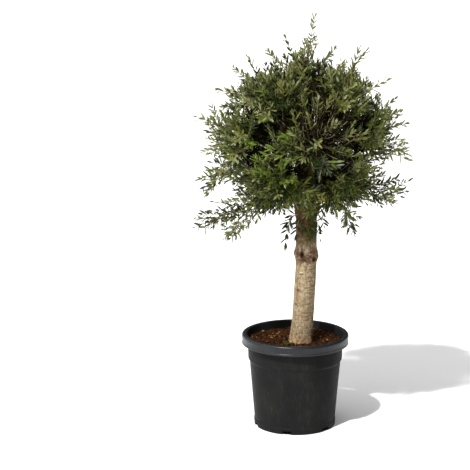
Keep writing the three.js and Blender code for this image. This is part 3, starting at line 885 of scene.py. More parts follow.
# Pot
def rounded_outline(corners, steps):
    """Turns each corner of radius, height and rounding into a short arc"""
    outline = []
    for index, (r, z, rounding) in enumerate(corners):
        here = Vector((r, z))
        if rounding == 0:
            outline.append((r, z))
            continue
        before = (Vector(corners[index - 1][:2]) - here).normalized()
        after = (Vector(corners[index + 1][:2]) - here).normalized()
        start = here + before * rounding
        end = here + after * rounding
        for i in range(steps + 1):
            share = i / steps
            place = start.lerp(here, share).lerp(here.lerp(end, share), share)
            outline.append((place.x, place.y))
    return outline


def lathe(outline, sides):
    """A closed turned body: the outline starts and ends on the axis"""
    rings = outline[1:-1]
    points = [(0, 0, outline[0][1])]
    for r, z in rings:
        for i in range(sides):
            angle = 2 * pi * i / sides
            points.append((r * cos(angle), r * sin(angle), z))
    points.append((0, 0, outline[-1][1]))
    last = len(points) - 1
    faces = []
    for i in range(sides):
        j = (i + 1) % sides
        faces.append((0, 1 + j, 1 + i))
        for ring in range(len(rings) - 1):
            low = 1 + ring * sides
            faces.append((low + i, low + j, low + sides + j, low + sides + i))
        faces.append((last - sides + i, last - sides + j, last))
    return points, faces


def pot_outline():
    """The pot's section, up the outside and down the inside, by radius, height and rounding"""
    bead_top = POT_COLLAR_BOTTOM + POT_COLLAR_BEAD
    brow_bottom = POT_HEIGHT - POT_COLLAR_BROW
    top_inside = POT_HEIGHT - POT_WALL
    rim_inside = POT_RIM_RADIUS - POT_WALL
    groove = POT_RIM_RADIUS - POT_COLLAR_GROOVE
    foot_top = lerp(POT_FOOT_RADIUS, POT_STEP_RADIUS, POT_FOOT_HEIGHT / POT_STEP_BOTTOM)
    corners = (
        (0, POT_FOOT_HOLLOW, 0),
        (POT_FOOT_RADIUS - POT_FOOT_RING[0], POT_FOOT_HOLLOW, 0.001),
        (POT_FOOT_RADIUS - POT_FOOT_RING[1], 0, 0.001),
        (POT_FOOT_RADIUS, 0, 0.0025),
        (foot_top, POT_FOOT_HEIGHT, 0.0008),
        (foot_top - POT_FOOT_LEDGE, POT_FOOT_HEIGHT + POT_FOOT_LEDGE, 0.0006),
        (POT_STEP_RADIUS, POT_STEP_BOTTOM, 0.0015),
        (POT_SHOULDER_FOOT_RADIUS, POT_SHOULDER_BOTTOM, 0.0025),
        (POT_SHOULDER_RADIUS, POT_COLLAR_BOTTOM, 0.0015),
        (POT_MOUTH_RADIUS + POT_WALL, top_inside, 0.0015),
        (rim_inside, top_inside, 0.003),
        (rim_inside, POT_COLLAR_BOTTOM, 0.0006),
        (POT_RIM_RADIUS, POT_COLLAR_BOTTOM, 0.0012),
        (POT_RIM_RADIUS, bead_top, 0.0010),
        (groove, bead_top + POT_COLLAR_GROOVE, 0.0008),
        (groove, brow_bottom - POT_COLLAR_GROOVE, 0.0008),
        (POT_RIM_RADIUS, brow_bottom, 0.0010),
        (POT_RIM_RADIUS, POT_HEIGHT, 0.008),
        (POT_MOUTH_RADIUS, POT_HEIGHT, 0.005),
        (POT_SHOULDER_RADIUS - POT_WALL, POT_COLLAR_BOTTOM, 0.0015),
        (POT_SHOULDER_FOOT_RADIUS - POT_WALL, POT_SHOULDER_BOTTOM, 0.0015),
        (POT_STEP_RADIUS - POT_WALL, POT_STEP_BOTTOM, 0.0015),
        (POT_FOOT_RADIUS - POT_WALL, POT_FLOOR, 0.002),
        (0, POT_FLOOR, 0),
    )
    return rounded_outline(corners, POT_ARC_STEPS)


def cut_slots(pot):
    slots = Batch()
    cube = [(x, y, z) for x in (-0.5, 0.5) for y in (-0.5, 0.5) for z in (-0.5, 0.5)]
    faces = [(0, 1, 3, 2), (4, 6, 7, 5), (0, 4, 5, 1), (2, 3, 7, 6), (0, 2, 6, 4), (1, 5, 7, 3)]
    for i in range(SLOT_COUNT):
        angle = radians(SLOT_FIRST_ANGLE + 360 / SLOT_COUNT * i)
        turn = Matrix.Rotation(angle, 4, "Z") @ Matrix.Translation((0, -POT_FOOT_RADIUS, 0))
        corners = [turn @ Vector([c * s for c, s in zip(corner, SLOT_SIZE)]) for corner in cube]
        slots.add(np.array([tuple(c) for c in corners]), faces)
    cutter = add_object("slot_cutter", slots.mesh("slot_cutter", []))
    apply_modifier(pot, "BOOLEAN", operation="DIFFERENCE", object=cutter, solver="EXACT")
    bpy.data.objects.remove(cutter)


def pot_material(name, low, high, dust_share, specular, smoothest):
    """Moulded plastic between two tones, with dusty scuffs that run downwards"""
    material, tree, shader = new_material(name, specular=specular)
    scuffs = noise_value(tree, (1, 1, 0.22), 85, 6, 0.7)
    cloud = noise_value(tree, (1, 1, 0.7), 9, 3, 0.5)
    specks = noise_value(tree, (1, 1, 0.55), 150, 5, 0.7)
    grain = noise_value(tree, (1, 1, 1), 420, 3, 0.6)
    scratches = noise_value(tree, (1, 1, 0.05), 260, 3, 0.6)
    dust = times(remap(scuffs, 0.50, 0.80), remap(cloud, 0.40, 0.62))
    speckled = plus(dust, remap(specks, 0.56, 0.80, 0, 0.45))
    base = blend(remap(cloud, 0.3, 0.7), low, high)
    dusty = blend(times(speckled, dust_share), base, POT_DUST)
    tree.links.new(dusty, shader.inputs["Base Color"])
    gloss = remap(scuffs, 0.3, 0.7, smoothest, smoothest + POT_ROUGHNESS_RANGE)
    tree.links.new(plus(gloss, times(dust, POT_DUST_ROUGHNESS)), shader.inputs["Roughness"])
    add_bump(tree, shader, plus(grain, scratches), 0.0004, 0.5)
    return material


def build_pot():
    points, faces = lathe(pot_outline(), POT_SIDES)
    slots = []
    for face in faces:
        reach = min(hypot(*points[i][:2]) for i in face)
        low = min(points[i][2] for i in face)
        slots.append(1 if reach > POT_MOUTH_RADIUS + POT_WALL and low > POT_COLLAR_BOTTOM - POT_WALL else 0)
    plastics = [pot_material(name, *looks) for name, looks in POT_PLASTICS.items()]
    mesh = mesh_from("pot_shell", points, faces, plastics, slots)
    pot = new_object("pot_shell", mesh, ["pot"])
    cut_slots(pot)
    pot.data.shade_smooth()
    pot.data.set_sharp_from_angle(angle=radians(POT_SHARP_ANGLE))


# Soil
def soil_height(x, y):
    """The relief of the soil: clods, grains and broad swells, heaped a little round the trunk"""
    place = Vector((x, y, 0))
    samples = (place / SOIL_LUMP_SIZE, place / SOIL_GRAIN_SIZE, place * SOIL_BROAD_SCALE)
    rough = sum(share * noise.noise(sample) for share, sample in zip(SOIL_RELIEF_SHARES, samples))
    to_trunk = hypot(x - TRUNK_FOOT[0], y - TRUNK_FOOT[1])
    return SOIL_RELIEF * rough + SOIL_HEAP * exp(-((to_trunk / SOIL_HEAP_RADIUS) ** 2))


def build_soil():
    outline = [(0, POT_FLOOR + FIT_GAP), (POT_FOOT_RADIUS - POT_WALL - FIT_GAP, POT_FLOOR + FIT_GAP)]
    outline.append((POT_STEP_RADIUS - POT_WALL - FIT_GAP, POT_STEP_BOTTOM))
    outline.append((POT_SHOULDER_FOOT_RADIUS - POT_WALL - FIT_GAP, POT_SHOULDER_BOTTOM))
    outline += [(SOIL_RADIUS * (SOIL_RINGS - i) / SOIL_RINGS, SOIL_LEVEL) for i in range(SOIL_RINGS + 1)]
    points, faces = lathe(outline, SOIL_SIDES)
    for index, (x, y, z) in enumerate(points):
        if z >= SOIL_LEVEL:
            points[index] = (x, y, z + soil_height(x, y))
    mesh = mesh_from("soil_bed", points, faces, [soil_material()])
    mesh.set_sharp_from_angle(angle=pi)
    new_object("soil_bed", mesh, ["soil"])


def soil_material():
    material, tree, shader = new_material("potting_soil", roughness=0.95, specular=0.02)
    patches = noise_value(tree, (1, 1, 1), 26, 4)
    grains = noise_value(tree, (1, 1, 1), 190, 4, 0.7)
    flecks = noise_value(tree, (1, 1, 1), 330, 2, 0.5)
    # Near black below the surface: painted shade inside the pot
    painted_shade_below = remap(height_value(tree), *(SOIL_LEVEL - depth for depth in BURIED_SOIL_SHADE_DEPTHS))
    coats = (
        (remap(grains, 0.46, 0.66), SOIL_GRAIN),
        (remap(flecks, 0.66, 0.74), SOIL_FLECK),
        (painted_shade_below, BURIED_SOIL_SHADE),
    )
    colour = paint_over(blend(remap(patches, 0.38, 0.62), *SOIL_TONES), coats)
    tree.links.new(colour, shader.inputs["Base Color"])
    add_bump(tree, shader, grains, 0.003, 0.9)
    return material


def crumb(size):
    """A small angular lump: an icosphere pulled about and flattened"""
    shape = bmesh.new()
    bmesh.ops.create_icosphere(shape, subdivisions=1, radius=1)
    stretch = [lerp(*limits, draw()) for limits in CRUMB_STRETCHES]
    turn = Matrix.Rotation(draw() * 2 * pi, 3, "Z") @ Matrix.Rotation(draw() * pi, 3, "X")
    points = []
    for vertex in shape.verts:
        pull = 1 + CRUMB_PULL * (draw() - 0.5)
        points.append(tuple(turn @ Vector([c * s * size * pull for c, s in zip(vertex.co, stretch)])))
    faces = [tuple(v.index for v in face.verts) for face in shape.faces]
    shape.free()
    return np.array(points), faces


def build_crumbs():
    materials = [new_material(name, color, 0.9, 0.08)[0] for name, color in CRUMB_TONES.items()]
    crumbs = Batch()
    for _ in range(CRUMB_COUNT):
        reach = SOIL_RADIUS * CRUMB_SPREAD * sqrt(draw())
        angle = draw() * 2 * pi
        x, y = reach * cos(angle), reach * sin(angle)
        size = lerp(*CRUMB_SIZES, draw() ** 3)
        points, faces = crumb(size)
        pick = draw()
        tone = sum(pick >= limit for limit in CRUMB_LIMITS)
        crumbs.add(points + (x, y, SOIL_LEVEL + soil_height(x, y) + CRUMB_LIFT * size), faces, tone)
    for index in range(MOSS_COUNT):
        if index % 2:
            x, y = (f + away + wide * (draw() - 0.5) for f, (away, wide) in zip(TRUNK_FOOT, MOSS_BY_TRUNK))
        else:
            angle = radians(lerp(*MOSS_FRONT_ANGLES, draw()))
            reach = lerp(*MOSS_FRONT_REACH, draw())
            x, y = reach * cos(angle), reach * sin(angle)
        points, faces = crumb(lerp(*MOSS_SIZES, draw()))
        crumbs.add(points + (x, y, SOIL_LEVEL + soil_height(x, y) + MOSS_LIFT), faces, len(CRUMB_LIMITS) + 1)
    new_object("soil_crumbs", crumbs.mesh("soil_crumbs", materials))


# Bark
BARK_VOXEL = 0.0022
BARK_SMOOTHING = 8
BARK_BURIED = 0.004
TRUNK_RINGS = 110
TRUNK_SIDES = 64
LIMB_SIDES = 20
SCARS = (
    # place across, height, size across, size up, depth, lip
    (0.022, 0.665, 0.0066, 0.0125, 0.0115, 0.0052),
    (0.029, 0.648, 0.0100, 0.0075, 0.0046, 0.0020),
    (0.066, 0.646, 0.0075, 0.0085, 0.0070, 0.0034),
    (0.007, 0.529, 0.0048, 0.0044, 0.0050, 0.0012),
    (-0.001, 0.560, 0.0030, 0.0030, 0.0030, 0.0008),
    (0.001, 0.476, 0.0046, 0.0030, 0.0040, 0.0008),
    (0.019, 0.590, 0.0090, 0.0022, 0.0044, 0.0018),
    (0.024, 0.566, 0.0080, 0.0014, 0.0024, 0.0010),
)
BARK_BUMPS = (
    ((-0.006, -0.030, 0.670), 0.016, 0.0048),
    ((0.078, -0.030, 0.650), 0.014, 0.0040),
    ((0.040, -0.060, 0.660), 0.013, 0.0034),
    ((0.050, -0.058, 0.676), 0.012, 0.0026),
    ((0.010, -0.060, 0.690), 0.016, 0.0028),
    ((0.070, 0.015, 0.655), 0.018, 0.0040),
    ((-0.002, 0.018, 0.668), 0.020, 0.0045),
)
# Layers of relief: height, and how often each repeats in a metre, across and upwards
BARK_LAYERS = ((0.0016, 22, 7), (0.0007, 95, 30), (0.0004, 30, 190))
BARK_LUMPS = (0.0034, 48, 38)
# A scar's lip stands at this many times its size, and fades over that much
SCAR_LIP = (1.5, 0.6)
SCAR_REACH = 4
BUMP_REACH = 3
KNOT_PLACE = (0.030, -0.056, 0.660)
KNOT_STAIN = (0.026, 0.060)
KNOT_STAIN_HEIGHT_SHARE = 1.3
KNOT_LIP_PLACE = (0.030, -0.056, 0.684)
KNOT_LIP_REACH = (0.008, 0.022)
PALE_MARKS = (
    # place across, height, size across, size up, share
    (0.019, 0.5970, 0.0105, 0.0030, 0.80),
    (0.030, 0.6320, 0.0036, 0.0080, 0.55),
    (0.040, 0.6800, 0.0130, 0.0034, 0.45),
    (0.050, 0.6680, 0.0110, 0.0030, 0.45),
    (0.012, 0.6800, 0.0040, 0.0110, 0.50),
)
PALE_MARK_CORE = 0.45
SCAR_DARK_REACH = (0.5, 1.6)
SCAR_FULL_DEPTH = 0.0075
MARK_DEPTH_SHARE = 0.3
ROUGH_BARK_HEIGHT = 0.715
WARM_BARK_HEIGHTS = (0.695, 0.735)
# Bark is old, rusty and mossy above, and ringed on one side; there, on the side away from the sun, the rings
# are laid thicker as painted shade
OLD_BARK_HEIGHTS = (0.768, 0.822)
RINGED_AND_SHADED_SIDE = (0.95, -0.10, 0.0)
FLAKED_FOOT_HEIGHTS = (0.384, 0.356)
# Patterns: stretch, scale, detail and roughness
BARK_PATTERNS = (
    ((1, 1, 0.8), 120, 6, 0.72),
    ((1, 1, 0.5), 26, 4, 0.6),
    ((1, 1, 0.16), 90, 5, 0.65),
    ((0.25, 0.25, 3.4), 85, 4, 0.6),
)
TAN_BARK = ((0.205, 0.145, 0.076), (0.325, 0.248, 0.150))
RUSTY_BARK = ((0.038, 0.022, 0.008), (0.150, 0.078, 0.024))
MOSSY_BARK = ((0.016, 0.014, 0.004), (0.070, 0.080, 0.007))
PALE_BARK = (0.45, 0.360, 0.238)
BROWN_BARK = (0.125, 0.086, 0.042)
STREAKED_BARK = (0.135, 0.098, 0.052)
RINGED_AND_SHADED_BARK = (0.105, 0.070, 0.034)
WARM_BARK = (0.150, 0.082, 0.038)
STAINED_BARK = (0.100, 0.044, 0.017)
LIP_BARK = (0.56, 0.44, 0.30)
# Dark in the scar pits, darker the deeper: dark wood, partly painted shade
SCAR_PIT_SHADE_BARK = (0.020, 0.009, 0.004)
CRACKED_BARK = (0.130, 0.066, 0.030)
FLAKED_BARK = (0.440, 0.290, 0.155)


def trunk_front(across, height):
    """The point of the trunk's front at a place across it and a height"""
    centre = trunk_centre(height)
    radius = trunk_radius(height, -pi / 2)
    depth = sqrt(max(radius**2 - (across - centre.x) ** 2, 0))
    return Vector((across, centre.y - depth, height))


scars = [(trunk_front(across, height), *sizes) for across, height, *sizes in SCARS]
pale_marks = [(trunk_front(across, height), *sizes) for across, height, *sizes in PALE_MARKS]


def bark_relief(place):
    """How far the bark stands out of the smooth limb at a place"""
    x, y, z = place
    high = smoothstep(z, ROUGH_BARK_HEIGHT - 0.03, ROUGH_BARK_HEIGHT + 0.04)
    lump_height, *lump_scales = BARK_LUMPS
    relief = 0
    for height, across, up in (*BARK_LAYERS, (lump_height * high, *lump_scales)):
        relief += height * noise.noise(Vector((x * across, y * across, z * up)))
    lip_place, lip_spread = SCAR_LIP
    for centre, across, up, depth, lip in scars:
        sideways = hypot(x - centre[0], y - centre[1]) / across
        reach = hypot(sideways, (z - centre[2]) / up)
        if reach < SCAR_REACH:
            raised = lip * exp(-(((reach - lip_place) / lip_spread) ** 2))
            relief += raised - depth * exp(-(reach**2))
    for centre, size, height in BARK_BUMPS:
        reach = (place - Vector(centre)).length / size
        if reach < BUMP_REACH:
            relief += height * exp(-(reach**2))
    return relief


def build_bark():
    heights = np.linspace(SOIL_LEVEL - BARK_BURIED, TRUNK_TOP, TRUNK_RINGS)
    outline = []
    for height in heights:
        centre = trunk_centre(max(height, SOIL_LEVEL))
        for angle in np.linspace(0, 2 * pi, TRUNK_SIDES, endpoint=False):
            radius = trunk_radius(max(height, SOIL_LEVEL), angle)
            outline.append((centre.x + radius * cos(angle), centre.y + radius * sin(angle), height))
    sides = TRUNK_SIDES
    faces = [tuple(reversed(range(sides))), tuple(range(len(outline) - sides, len(outline)))]
    faces += ring_faces(0, TRUNK_RINGS, sides)
    limbs = Batch()
    limbs.add(np.array(outline), faces)
    for points, radii in tubes:
        limbs.add(*tube(points, radii, LIMB_SIDES))
    names = ["trunk", "bough_leader"]
    names += [f"bough_{name}" for name in SIDES]
    names += [f"bough_{name}_high" for name in CORNERS]
    bark = new_object("bark", limbs.mesh("bark", []), names)
    apply_modifier(bark, "REMESH", mode="VOXEL", voxel_size=BARK_VOXEL)
    apply_modifier(bark, "SMOOTH", iterations=BARK_SMOOTHING, factor=0.5)
    mesh = bark.data
    places = read_vectors(mesh.vertices, "co")
    normals = read_vectors(mesh.vertex_normals, "vector")
    relief = [bark_relief(Vector(place)) if place[2] > SOIL_LEVEL else 0 for place in places]
    mesh.vertices.foreach_set("co", (places + normals * np.array(relief)[:, None]).ravel())
    mesh.materials.append(bark_material())
    mesh.shade_smooth()
    mesh.update()


def bark_material():
    material, tree, shader = new_material("olive_bark", roughness=0.9, specular=0.2)
    mottle, blotches, streaks, rings = (noise_value(tree, *pattern) for pattern in BARK_PATTERNS)
    height = height_value(tree)
    facing = side_value(tree, RINGED_AND_SHADED_SIDE)
    by_knot = near_value(tree, KNOT_PLACE, *KNOT_STAIN, (1, MARK_DEPTH_SHARE, KNOT_STAIN_HEIGHT_SHARE))
    by_lip = near_value(tree, KNOT_LIP_PLACE, *KNOT_LIP_REACH, (1, MARK_DEPTH_SHARE, 1))
    warm = times(remap(height, *WARM_BARK_HEIGHTS), remap(mottle, 0.60, 0.46, 0.25, 0.85))
    coats = [
        (remap(mottle, 0.50, 0.66), PALE_BARK),
        (remap(mottle, 0.48, 0.36), BROWN_BARK),
        (remap(streaks, 0.46, 0.34, 0, 0.7), STREAKED_BARK),
        # Ring marks all round, laid up to three times as thick on the side away from the sun: real rings,
        # partly painted shade
        (times(remap(rings, 0.49, 0.60), remap(facing, -0.2, 0.5, 0.30, 0.9)), RINGED_AND_SHADED_BARK),
        (warm, WARM_BARK),
        (times(by_knot, remap(mottle, 0.64, 0.48, 0.15, 0.95)), STAINED_BARK),
        (times(by_lip, remap(streaks, 0.44, 0.54)), LIP_BARK),
    ]
    for centre, across, up, share in pale_marks:
        near = near_value(tree, centre, across * PALE_MARK_CORE, across, (1, MARK_DEPTH_SHARE, across / up))
        coats.append((times(near, share), LIP_BARK))
    rusty = blend(remap(mottle, 0.42, 0.60), *RUSTY_BARK)
    mossy = blend(remap(mottle, 0.42, 0.62), *MOSSY_BARK)
    moss = plus(remap(facing, -0.5, 0.3), remap(blotches, 0.45, 0.62, -0.3, 0.5))
    upper = remap(plus(height, times(blotches, 0.16)), *OLD_BARK_HEIGHTS)
    coats.append((upper, blend(remap(moss, 0.3, 0.7), rusty, mossy)))
    # Each scar pit is painted dark, the darker the deeper it is: dark wood, deepened with painted shade in
    # the recess
    for centre, across, up, depth, _ in scars:
        reach = [across * share for share in SCAR_DARK_REACH]
        dark = near_value(tree, centre, *reach, (1, MARK_DEPTH_SHARE, across / up))
        coats.append((times(dark, min(depth / SCAR_FULL_DEPTH, 1)), SCAR_PIT_SHADE_BARK))
    foot = remap(plus(height, times(mottle, 0.03)), *FLAKED_FOOT_HEIGHTS)
    coats.append((times(foot, 0.55), CRACKED_BARK))
    coats.append((times(foot, remap(mottle, 0.46, 0.56, 0.05, 0.9)), FLAKED_BARK))
    tan = blend(remap(blotches, 0.38, 0.62), *TAN_BARK)
    tree.links.new(paint_over(tan, coats), shader.inputs["Base Color"])
    relief = plus(mottle, times(streaks, 0.6))
    add_bump(tree, shader, plus(relief, times(rings, -0.9)), 0.0026, 0.9)
    return material


# Leaves
class Leaves:
    """Leaves gathered for one mesh, in rows of root, way, upper side, length, half width, bend and tone"""

    def __init__(self):
        self.rows = []

    def add(self, root, way, top, length, half_width, bend, tone):
        self.rows.append((*root, *way, *top, length, half_width, bend, TONE_NAMES.index(tone)))

    def mesh(self, name, materials):
        rows = np.array(self.rows)
        rows = rows[off_limbs(rows[:, 0:3], rows[:, 3:6] * rows[:, 9:10])]
        roots, ways, tops = (rows[:, i:i + 3].copy() for i in (0, 3, 6))
        tops -= ways * np.sum(ways * tops, axis=1)[:, None]
        tops /= np.linalg.norm(tops, axis=1)[:, None]
        across = np.cross(ways, tops)
        template, top_faces, under_faces = leaf_template()
        length, half_width, bend = (rows[:, i, None, None] for i in (9, 10, 11))
        x, y, z = (template[None, :, i, None] for i in range(3))
        points = roots[:, None] + across[:, None] * x * half_width + ways[:, None] * y * length
        points += tops[:, None] * (z * half_width - bend * y * y * length)
        faces, slots = [], []
        for index, tone in enumerate(rows[:, 12].astype(int).tolist()):
            first = index * len(template)
            faces += [tuple(first + i for i in face) for face in top_faces + under_faces]
            slots += [tone] * len(top_faces) + [tone + len(TONE_NAMES)] * len(under_faces)
        return mesh_from(name, points.reshape(-1, 3).tolist(), faces, materials, slots)


def off_limbs(roots, leaves):
    """Which leaves stay off every limb and within the reach allowed"""
    clear = np.ones(len(roots), bool)
    low, high = np.array(CAD_BOX[0]) - REACH_ALLOWANCE, np.array(CAD_BOX[1]) + REACH_ALLOWANCE
    for share in LEAF_TEST_PLACES:
        places = roots + leaves * share
        clear &= np.all((places > low) & (places < high), axis=1)
        for start, end, radius in limb_stretches:
            start, along = np.array(start), np.array(end - start)
            part = np.clip((places - start) @ along / (along @ along), 0, 1)
            gaps = np.linalg.norm(places - start - part[:, None] * along, axis=1)
            clear &= gaps > radius + LEAF_CLEARANCE
    return clear


def leaf_template():
    """A lance-shaped leaf of unit length and half width: points, top faces and under faces"""
    points = [(0, 0, 0)]
    for y, share in LEAF_STATIONS:
        points += [(-share, y, 0), (share, y, 0), (0, y, LEAF_RIDGE * share)]
    points.append((0, 1, 0))
    tip = len(points) - 1
    top, under = [], []
    for station in range(len(LEAF_STATIONS)):
        left, right, ridge = (1 + 3 * station + i for i in range(3))
        if station == 0:
            top += [(0, ridge, left), (0, right, ridge)]
            under.append((0, left, right))
        if station == len(LEAF_STATIONS) - 1:
            top += [(left, ridge, tip), (ridge, right, tip)]
            under.append((left, tip, right))
        else:
            top += [(left, ridge, ridge + 3, left + 3), (ridge, right, right + 3, ridge + 3)]
            under.append((left, left + 3, right + 3, right))
    return np.array(points), top, under


def spray_tone(place):
    """The colour of a spray, by where it is"""
    pick = draw()
    for centre, radius, tone, share in TONE_PATCHES:
        if (place - Vector(centre)).length < radius:
            return tone if pick < share else "deep"
    # Deep in the crown most sprays take the near-black inner tone: painted shade
    if skin_share(place) < SHADED_CORE_REACH and pick < SHADED_CORE_SHARE:
        return "inner"
    tones = COMMON_TONES
    if skin_share(place) > OUTER_REACH:
        tones = OUTER_TONES
        # High on the crown's outside, some sprays take the pale tone: a painted highlight
        if draw() < lerp(*HIGHLIGHT_PALE_SHARES, smoothstep(place.z, *HIGHLIGHT_PALE_HEIGHTS)):
            return "highlight_pale"
        if place.z < LOW_TONES_HEIGHT:
            tones = LOW_TONES
    pick = draw()
    return next(tone for tone, limit in tones if pick < limit)


def add_leaf_pairs(leaves, points, first, spacing, size, tone):
    """Opposite pairs along a shoot, each pair turned a quarter from the last, and one leaf at its tip"""
    lengths = np.cumsum([0] + [(b - a).length for a, b in zip(points, points[1:])])
    total = lengths[-1]
    turn = draw() * pi
    place = first
    while place < total - PAIR_END_MARGIN:
        index = min(int(np.searchsorted(lengths, place, "right")) - 1, len(points) - 2)
        share = (place - lengths[index]) / (lengths[index + 1] - lengths[index])
        root = points[index].lerp(points[index + 1], share)
        way = (points[index + 1] - points[index]).normalized()
        along = (place - first) / (total - first)
        towards_tip = 1 - TIP_SHRINK * smoothstep(along, *TIP_SHRINK_ZONE)
        grown = size * min(1.0, FIRST_LEAF_SIZE + LEAF_GROWTH * along) * towards_tip
        aside = way.orthogonal().normalized()
        for half in range(2):
            leaf_turn = turn + half * pi + LEAF_TURN_VARIATION * (draw() - 0.5)
            side = Matrix.Rotation(leaf_turn, 3, way) @ aside
            spread = lerp(*LEAF_SPREADS, along**1.5) + LEAF_SPREAD_VARIATION * (draw() - 0.5)
            leaf_way = turned(way, side, spread)
            add_one_leaf(leaves, root, leaf_way, way, grown, tone)
        turn += pi / 2 + PAIR_TURN_VARIATION * (draw() - 0.5)
        place += spacing * lerp(*PAIR_SPACING_VARIATION, draw())
    tip_way = (points[-1] - points[-2]).normalized()
    add_one_leaf(leaves, points[-1], tip_way, tip_way.orthogonal(), size * TIP_LEAF_SIZE, tone)


def add_one_leaf(leaves, root, leaf_way, shoot_way, size, tone):
    length = LEAF_LENGTH * size * (1 + LEAF_VARIATION * 2 * (draw() - 0.5))
    half_width = LEAF_HALF_WIDTH * size**LEAF_WIDTH_POWER * (1 + LEAF_VARIATION * (draw() - 0.5))
    top = shoot_way - leaf_way * shoot_way.dot(leaf_way) + UP * LEAF_LIGHT_PULL
    roll = radians(LEAF_ROLL * 2 * (draw() - 0.5))
    top = Matrix.Rotation(roll, 3, leaf_way) @ top
    bend = LEAF_BEND * lerp(*LEAF_BEND_VARIATION, draw())
    leaves.add(root, leaf_way, top, length, half_width, bend, tone)


# Twigs
def bent_line(start, middle, end, count):
    """Points on a curve that starts towards the middle point and ends at the end point"""
    points = []
    for i in range(count):
        share = i / (count - 1)
        points.append(start.lerp(middle, share).lerp(middle.lerp(end, share), share))
    return points


def line_place(points, share):
    place = share * (len(points) - 1)
    index = min(int(place), len(points) - 2)
    way = (points[index + 1] - points[index]).normalized()
    return points[index].lerp(points[index + 1], place - index), way


def within_reach(place):
    low, high = CAD_BOX
    return all(a - REACH_ALLOWANCE < value < b + REACH_ALLOWANCE for a, value, b in zip(low, place, high))


def grow_shoot(root, way, length, size, tone, twigs, leaves):
    """A thin shoot that bends outward and up, with its leaves, and whether it found room"""
    outward = (root - CROWN_CENTRE).normalized()
    lift = lerp(*SHOOT_LIFTS, smoothstep(root.z, *SHOOT_LIFT_HEIGHTS)) * lerp(*SHOOT_LIFT_VARIATION, draw())
    bent = (way + outward * SHOOT_OUTWARD + UP * lift).normalized()
    furthest = max(SHOOT_SKIN, skin_share(root) + SHOOT_PAST_ROOT)
    while length > SHOOT_SHORTEST:
        end = root + (way + bent) * (length / 2)
        if within_reach(end) and skin_share(end) < furthest:
            break
        length -= SHOOT_CUT
    else:
        return False
    points = bent_line(root, root + way * (length / 2), end, SHOOT_POINTS)
    radii = np.linspace(SHOOT_RADIUS, SHOOT_TIP_RADIUS, SHOOT_POINTS)
    # Shoots that end deep in the crown take the dark inner wood: painted shade
    wood = SHADED_WOOD if skin_share(points[-1]) < SHADED_WOOD_REACH else YOUNG_WOOD
    twigs.add(*tube(points, radii, SHOOT_SIDES), wood)
    nearest, variation = SHOOT_LEAVES_START
    add_leaf_pairs(leaves, points, nearest + variation * draw(), LEAF_SPACING * size, size, tone)
    return True


def grow_twig(mass, end, twigs, leaves):
    """One of the part's twigs, carried on to side shoots, each with its leaves"""
    openness = 1 - mass.facing.angle(end - mass.centre) / pi
    start = mass.stem.point(min(max(openness, STEM_FIRST_TWIG), STEM_LAST_TWIG))
    if not fits(mass, start, end, CAD_LEAF_WIDTH / 2):
        return
    length = (end - start).length
    aside = Matrix.Rotation(draw() * 2 * pi, 3, end - start) @ (end - start).orthogonal().normalized()
    middle = start.lerp(end, 0.5) + aside * (TWIG_WANDER * length * draw()) - UP * (TWIG_SAG * length)
    points = bent_line(start, middle, end, TWIG_POINTS)
    radii = np.linspace(TWIG_BASE_RADIUS, TWIG_TIP_RADIUS, TWIG_POINTS)
    twigs.add(*tube(points, radii, TWIG_SIDES), TWIG_WOOD)
    place = SHOOT_FIRST * length
    turn = draw() * pi
    bare_tips = LONG_BARE_TIPS if skin_share(end) > LONG_TWIG_SKIN else BARE_TIPS
    bare = lerp(*bare_tips, smoothstep(end.z, *BARE_TIP_HEIGHTS))
    while place < length - bare:
        root, way = line_place(points, place / length)
        pair = 1 if skin_share(root) > SINGLE_SHOOT_SKIN and root.z > CROWN_CENTRE.z else 2
        for half in range(pair):
            shoot_turn = turn + half * pi + SHOOT_TURN_VARIATION * (draw() - 0.5)
            aside = Matrix.Rotation(shoot_turn, 3, way) @ way.orthogonal()
            spread = lerp(*SHOOT_SPREADS, place / length) + SHOOT_SPREAD_VARIATION * (draw() - 0.5)
            shoot_way = turned(way, aside.normalized(), spread)
            reach = lerp(*SHOOT_LENGTHS, place / length) * lerp(*SHOOT_LENGTH_VARIATION, draw())
            reach *= lerp(*SHOOT_GROWTH, smoothstep(root.z, *SHOOT_GROWTH_HEIGHTS))
            place_shoot(root, shoot_way, reach, twigs, leaves)
        turn += radians(SHOOT_TURN) + SHOOT_PAIR_VARIATION * (draw() - 0.5)
        place += SHOOT_SPACING * lerp(*SHOOT_SPACING_VARIATION, draw())
    tone = spray_tone(end)
    first = max(length - bare - TWIG_LEAVES_BACK, TWIG_LEAVES_LEAST)
    add_leaf_pairs(leaves, points, first, TWIG_LEAF_SPACING, TWIG_LEAF_SIZE, tone)


def place_shoot(root, way, reach, twigs, leaves):
    """A shoot, unless it would touch a limb or close the hollow in the crown's front"""
    end = root + way * reach
    hollow_centre, hollow_radius = CROWN_HOLLOW
    in_hollow = (end - Vector(hollow_centre)).length < hollow_radius
    skipped = draw() < CROWN_HOLLOW_SHARE
    if (in_hollow and skipped) or not clear_of_limbs(end, SHOOT_CLEARANCE):
        return False
    tone = spray_tone(root.lerp(end, 0.5))
    size = lerp(*SHOOT_LEAF_SIZES, draw()) * (BLUISH_LEAF_SIZE if tone == "bluish" else 1)
    return grow_shoot(root, way, reach, size, tone, twigs, leaves)


